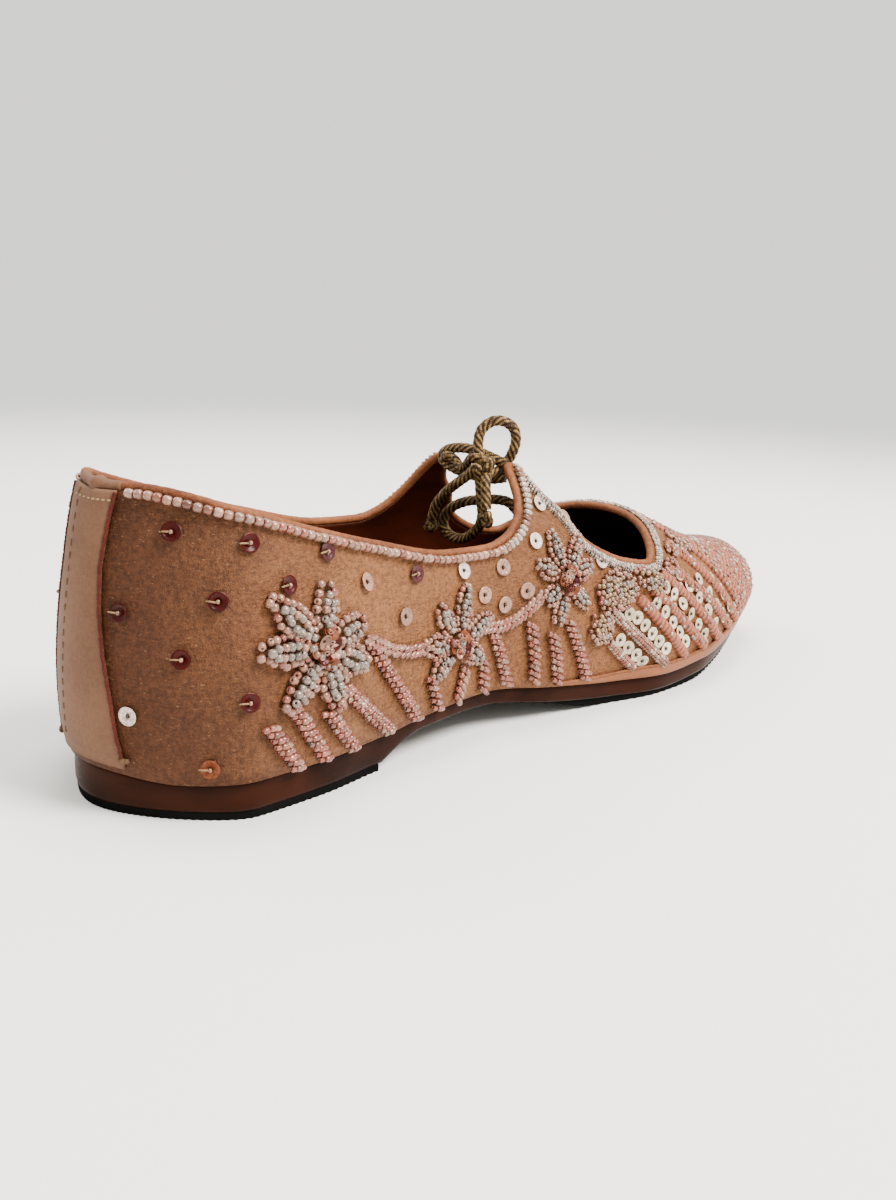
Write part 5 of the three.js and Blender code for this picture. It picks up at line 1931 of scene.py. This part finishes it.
ridge_point_spacing = 0.35
highest_ridge_rise = 0.95
ridge_bead_angles = np.radians((-58, -20, 20, 58))
print("places of the ridges set")

# %% [markdown]
# The section of a ridge is an oval, half of it sunk in the skin. Ripples along it show
# the thread, and a share of the places on it carries tiny beads.

# %% Toe ridges: section and cover
def join_items(name, items):
    work = bmesh.new()
    materials = list(items[0].data.materials)
    for item in items:
        work.from_mesh(item.data)
        bpy.data.objects.remove(item)
    mesh = bpy.data.meshes.new(name)
    work.to_mesh(mesh)
    work.free()
    for material in materials:
        mesh.materials.append(material)
    joined = bpy.data.objects.new(name, mesh)
    bpy.context.scene.collection.objects.link(joined)
    return joined


def ridge_radius(wide, high):
    def at(angle, reach):
        oval = wide / 2 * high / np.sqrt((high * np.cos(angle)) ** 2 + (wide / 2 * np.sin(angle)) ** 2)
        return oval * (1 + 0.05 * np.sin(reach * 9 + 2 * np.sin(reach)) + 0.05 * np.sin(reach * 1.3 + wide))
    return at


def cover_ridge(beads, place, normal, across, ridge):
    """Tiny beads on a ridge: all over it, or only a few that catch the light."""
    for angle in ridge_bead_angles:
        kept = dice.random(len(place)) < ridge["beaded"]
        if not kept.any():
            continue
        away = across * math.sin(angle) + normal * math.cos(angle)
        height = 0.1 + ridge["high"] * math.cos(angle)
        spot = place + across * ridge["wide"] / 2 * math.sin(angle) + normal * height
        colors = shades(["clear", "pink", "white"], int(kept.sum()), 0.15)
        beads.add(spot[kept], away[kept], normal[kept], (1.1, 1.1, 1.1), colors)


print("ridge helpers ready")

# %% [markdown]
# Each ridge runs from the top line, or from its place among the leaves, down to the band.
# The very tip is filled with loose beads, since the ridges stop short of it.

# %% Toe ridges: laying them
def build_ridges():
    for side in SIDES:
        items, sparkle = [], Beads()
        for row in ridges:
            ridge = dict(zip(ridge_columns, row))
            share = np.linspace(0, 1, 60)
            x = ridge["top_x"] + (ridge["foot_x"] - ridge["top_x"]) * share ** ridge["bend"]
            top_x, top_z = np.array(ridge["top_x"]), np.array(ridge["top_z"])
            top = min(float(rise_at_height(float(side), top_x, top_z)), highest_ridge_rise)
            foot_z = float(edge_height(ridge["foot_x"])) + band_height + 0.4
            foot = float(rise_at_height(float(side), np.array(ridge["foot_x"]), np.array(foot_z)))
            point, out = surface(float(side), x, top + (foot - top) * share)
            place, normal = resample_both(point, out, ridge_point_spacing)
            across = unit(np.cross(line_tangents(place), normal))
            cover_ridge(sparkle, place[::3], normal[::3], across[::3], ridge)
            radius_at = ridge_radius(ridge["wide"], ridge["high"])
            items.append(swept_tube("ridge", place + normal * 0.1, radius_at, 12, [ridge_silk],
                                    sides=across, ups=normal))
        item = join_items("toe_ridges_" + SIDE_NAMES[side], items)
        file_piece(item, "satin")
        print(item.name, len(item.data.polygons), "faces")
        tip_turns = dice.uniform(float(turn_of_x(tip_start)), float(turn_of_x(shoe_length)), tip_bead_count)
        tip_x = x_of_turn(tip_turns)
        point, out = surface(float(side), tip_x, dice.uniform(0.3, 1.0, tip_bead_count))
        tip_colors = shades(["pink", "clear", "rose"], tip_bead_count)
        tip_axes = dice.normal(0, 1, (tip_bead_count, 3))
        sparkle.add(point + out * 0.6, tip_axes, out, (1.3, 1.3, 1.3), tip_colors)
        sparkle.make("ridge_beads_" + SIDE_NAMES[side], tiny_bead, bead_glass, "beads", seed=11)


build_ridges()

# %% [markdown]
# The seams show how the shoe was sewn: red chain stitch down both edges of the stay with
# a knot at the foot, a dark topstitch down its middle, pale stitches across its top and
# a thin silk line where the band meets the beading. Chain stitch is a row of links.

# %% Seams
def stay_line(across, low, high, lift, spacing):
    share = np.linspace(low, high, 80)
    turns, rises = stay_place(share, np.full(80, across))
    point, normal = surface(*side_and_x(turns), rises)
    return resample_both(point + normal * lift, normal, spacing)


back_stitch_across = 0.42
chain_link_length = 3.0


def chain_radius(angle, reach):
    link = np.abs(np.sin(reach * math.pi / chain_link_length)) ** 0.6
    return 0.24 + 0.22 * link * np.abs(np.cos(angle)) + 0.05 * np.sin(reach * 7)


def band_seam_radius(angle, reach):
    return 0.34 + 0.04 * np.sin(reach * 5)


print("seam helpers ready")

# %% [markdown]
# Thread lies close to the cloth. The links and dashes stand less than a millimetre off
# it, which is enough to catch the light.

# %% Seams: sewing them
def build_seams():
    dashes = Beads()
    for across in (-1.0, 1.0):
        place, out = stay_line(across * 1.01, 0.015, 0.99, 0.95, 0.25)
        side_way = unit(np.cross(line_tangents(place), out))
        seam = swept_tube("chain_seam_" + ("medial" if across < 0 else "lateral"), place, chain_radius, 10,
                          [red_thread], sides=side_way, ups=out)
        file_piece(seam, "binding")
        dashes.add(place[:1] + out[:1] * 0.1, side_way[:1], out[:1], (2.2, 1.6, 1.6), (0.25, 0.05, 0.03))
        dashes.add(place[:1] - side_way[:1] * across * 0.9, side_way[:1], out[:1], (1.8, 1.2, 1.2),
                   (0.4, 0.14, 0.06))
    place, out = stay_line(back_stitch_across, 0.04, 0.97, 1.12, 2.7)
    dashes.add(place, line_tangents(place), out, (2.0, 0.45, 0.45), (0.05, 0.022, 0.012))
    across = np.linspace(-0.9, 0.5, 8)
    turns, rises = stay_place(np.full(8, 0.945), across)
    place, out = surface(*side_and_x(turns), rises)
    pale = Beads()
    pale.add(place + out * 1.15, line_tangents(place), out, (1.2, 0.45, 0.45), (0.3, 0.2, 0.1))
    pale.make("stay_top_stitches", tiny_bead, thread, "stay_cloth", wobble=0.04)
    dashes.make("stay_topstitch", tiny_bead, brown_thread, "stay_cloth", wobble=0.04)
    line = band_top + band_out * 0.75
    seam = swept_tube("band_seam", resample(line, 0.8), band_seam_radius, 8, [binding_silk])
    file_piece(seam, "binding")


build_seams()
for shape in (seed_bead, tiny_bead, sequin):
    bpy.data.objects.remove(shape)
print("beading done")

# %% [markdown]
# The picture is a plain product shot: a white sweep with a soft horizon, one large soft
# light from the right and above, a weaker one from the left, one overhead, and a pale
# room around. The floor fades into the room's colour, so it has no hard end.

# %% Floor and lights
floor_color = (0.80, 0.79, 0.765)
room_color = (0.82, 0.82, 0.75)
room_strength = 1.7
floor_size = 6.0
fade_start = 0.30
fade_end = 0.72
black = (0.0, 0.0, 0.0)


def build_floor():
    material, tree, shader = new_material("white_sweep", 0.7, Specular_IOR_Level=0.0,
                                          Emission_Strength=room_strength)
    reach = add_node(tree, "ShaderNodeVectorMath", operation="LENGTH")
    tree.links.new(object_place(tree), reach.inputs[0])
    fade = add_node(tree, "ShaderNodeMapRange", interpolation_type="SMOOTHSTEP")
    fade.inputs["From Min"].default_value = fade_start
    fade.inputs["From Max"].default_value = fade_end
    tree.links.new(reach.outputs["Value"], fade.inputs["Value"])
    tree.links.new(mix_colors(tree, fade.outputs[0], floor_color, black), shader.inputs["Base Color"])
    tree.links.new(mix_colors(tree, fade.outputs[0], black, room_color), shader.inputs["Emission Color"])
    mesh = bpy.data.meshes.new("white_floor")
    half = floor_size
    corners = [(-half, -half, 0), (half, -half, 0), (half, half, 0), (-half, half, 0)]
    mesh.from_pydata(corners, [], [(0, 1, 2, 3)])
    mesh.materials.append(material)
    floor = bpy.data.objects.new("white_floor", mesh)
    bpy.context.scene.collection.objects.link(floor)


print("floor function ready")

# %% [markdown]
# The lights are placed as the photo's camera sees them, a distance to its right and a
# distance ahead. They stay where they are when the shoe is looked at from another side.

# %% Lights
light_target = (0.0, 0.0, 0.03)
view_way = np.array([math.sin(camera_turn), math.cos(camera_turn)])
right_way = np.array([math.cos(camera_turn), -math.sin(camera_turn)])
light_columns = ("name", "right", "ahead", "height", "size", "power", "color")
light_rows = (
    ("key_light", 0.75, -0.35, 1.0, 0.7, 50.0, (1.0, 0.97, 0.93)),
    ("fill_light", -0.9, 0.3, 0.8, 0.8, 8.0, (1.0, 0.96, 0.92)),
    ("top_light", 0.0667, 0.2134, 1.4, 0.6, 16.0, (1.0, 0.98, 0.96)),
)


def area_light(name, right, ahead, height, size, power, color):
    data = bpy.data.lights.new(name, "AREA")
    data.shape = "DISK"
    data.size = size
    data.energy = power
    data.color = color
    light = bpy.data.objects.new(name, data)
    light.location = (*(right_way * right + view_way * ahead), height)
    light.rotation_euler = (Vector(light_target) - light.location).to_track_quat("-Z", "Y").to_euler()
    bpy.context.scene.collection.objects.link(light)


build_floor()
for row in light_rows:
    area_light(**dict(zip(light_columns, row)))

world = bpy.data.worlds.new("pale_room")
world.use_nodes = True
world.node_tree.nodes["Background"].inputs["Color"].default_value = (*room_color, 1.0)
world.node_tree.nodes["Background"].inputs["Strength"].default_value = room_strength
bpy.context.scene.world = world

# %% [markdown]
# A small helper turns a box into plain numbers, and the scene is brought up to date.

# %% Sizes and finish
def plain(box):
    return [[float(value) for value in corner] for corner in box]


bpy.context.view_layer.update()
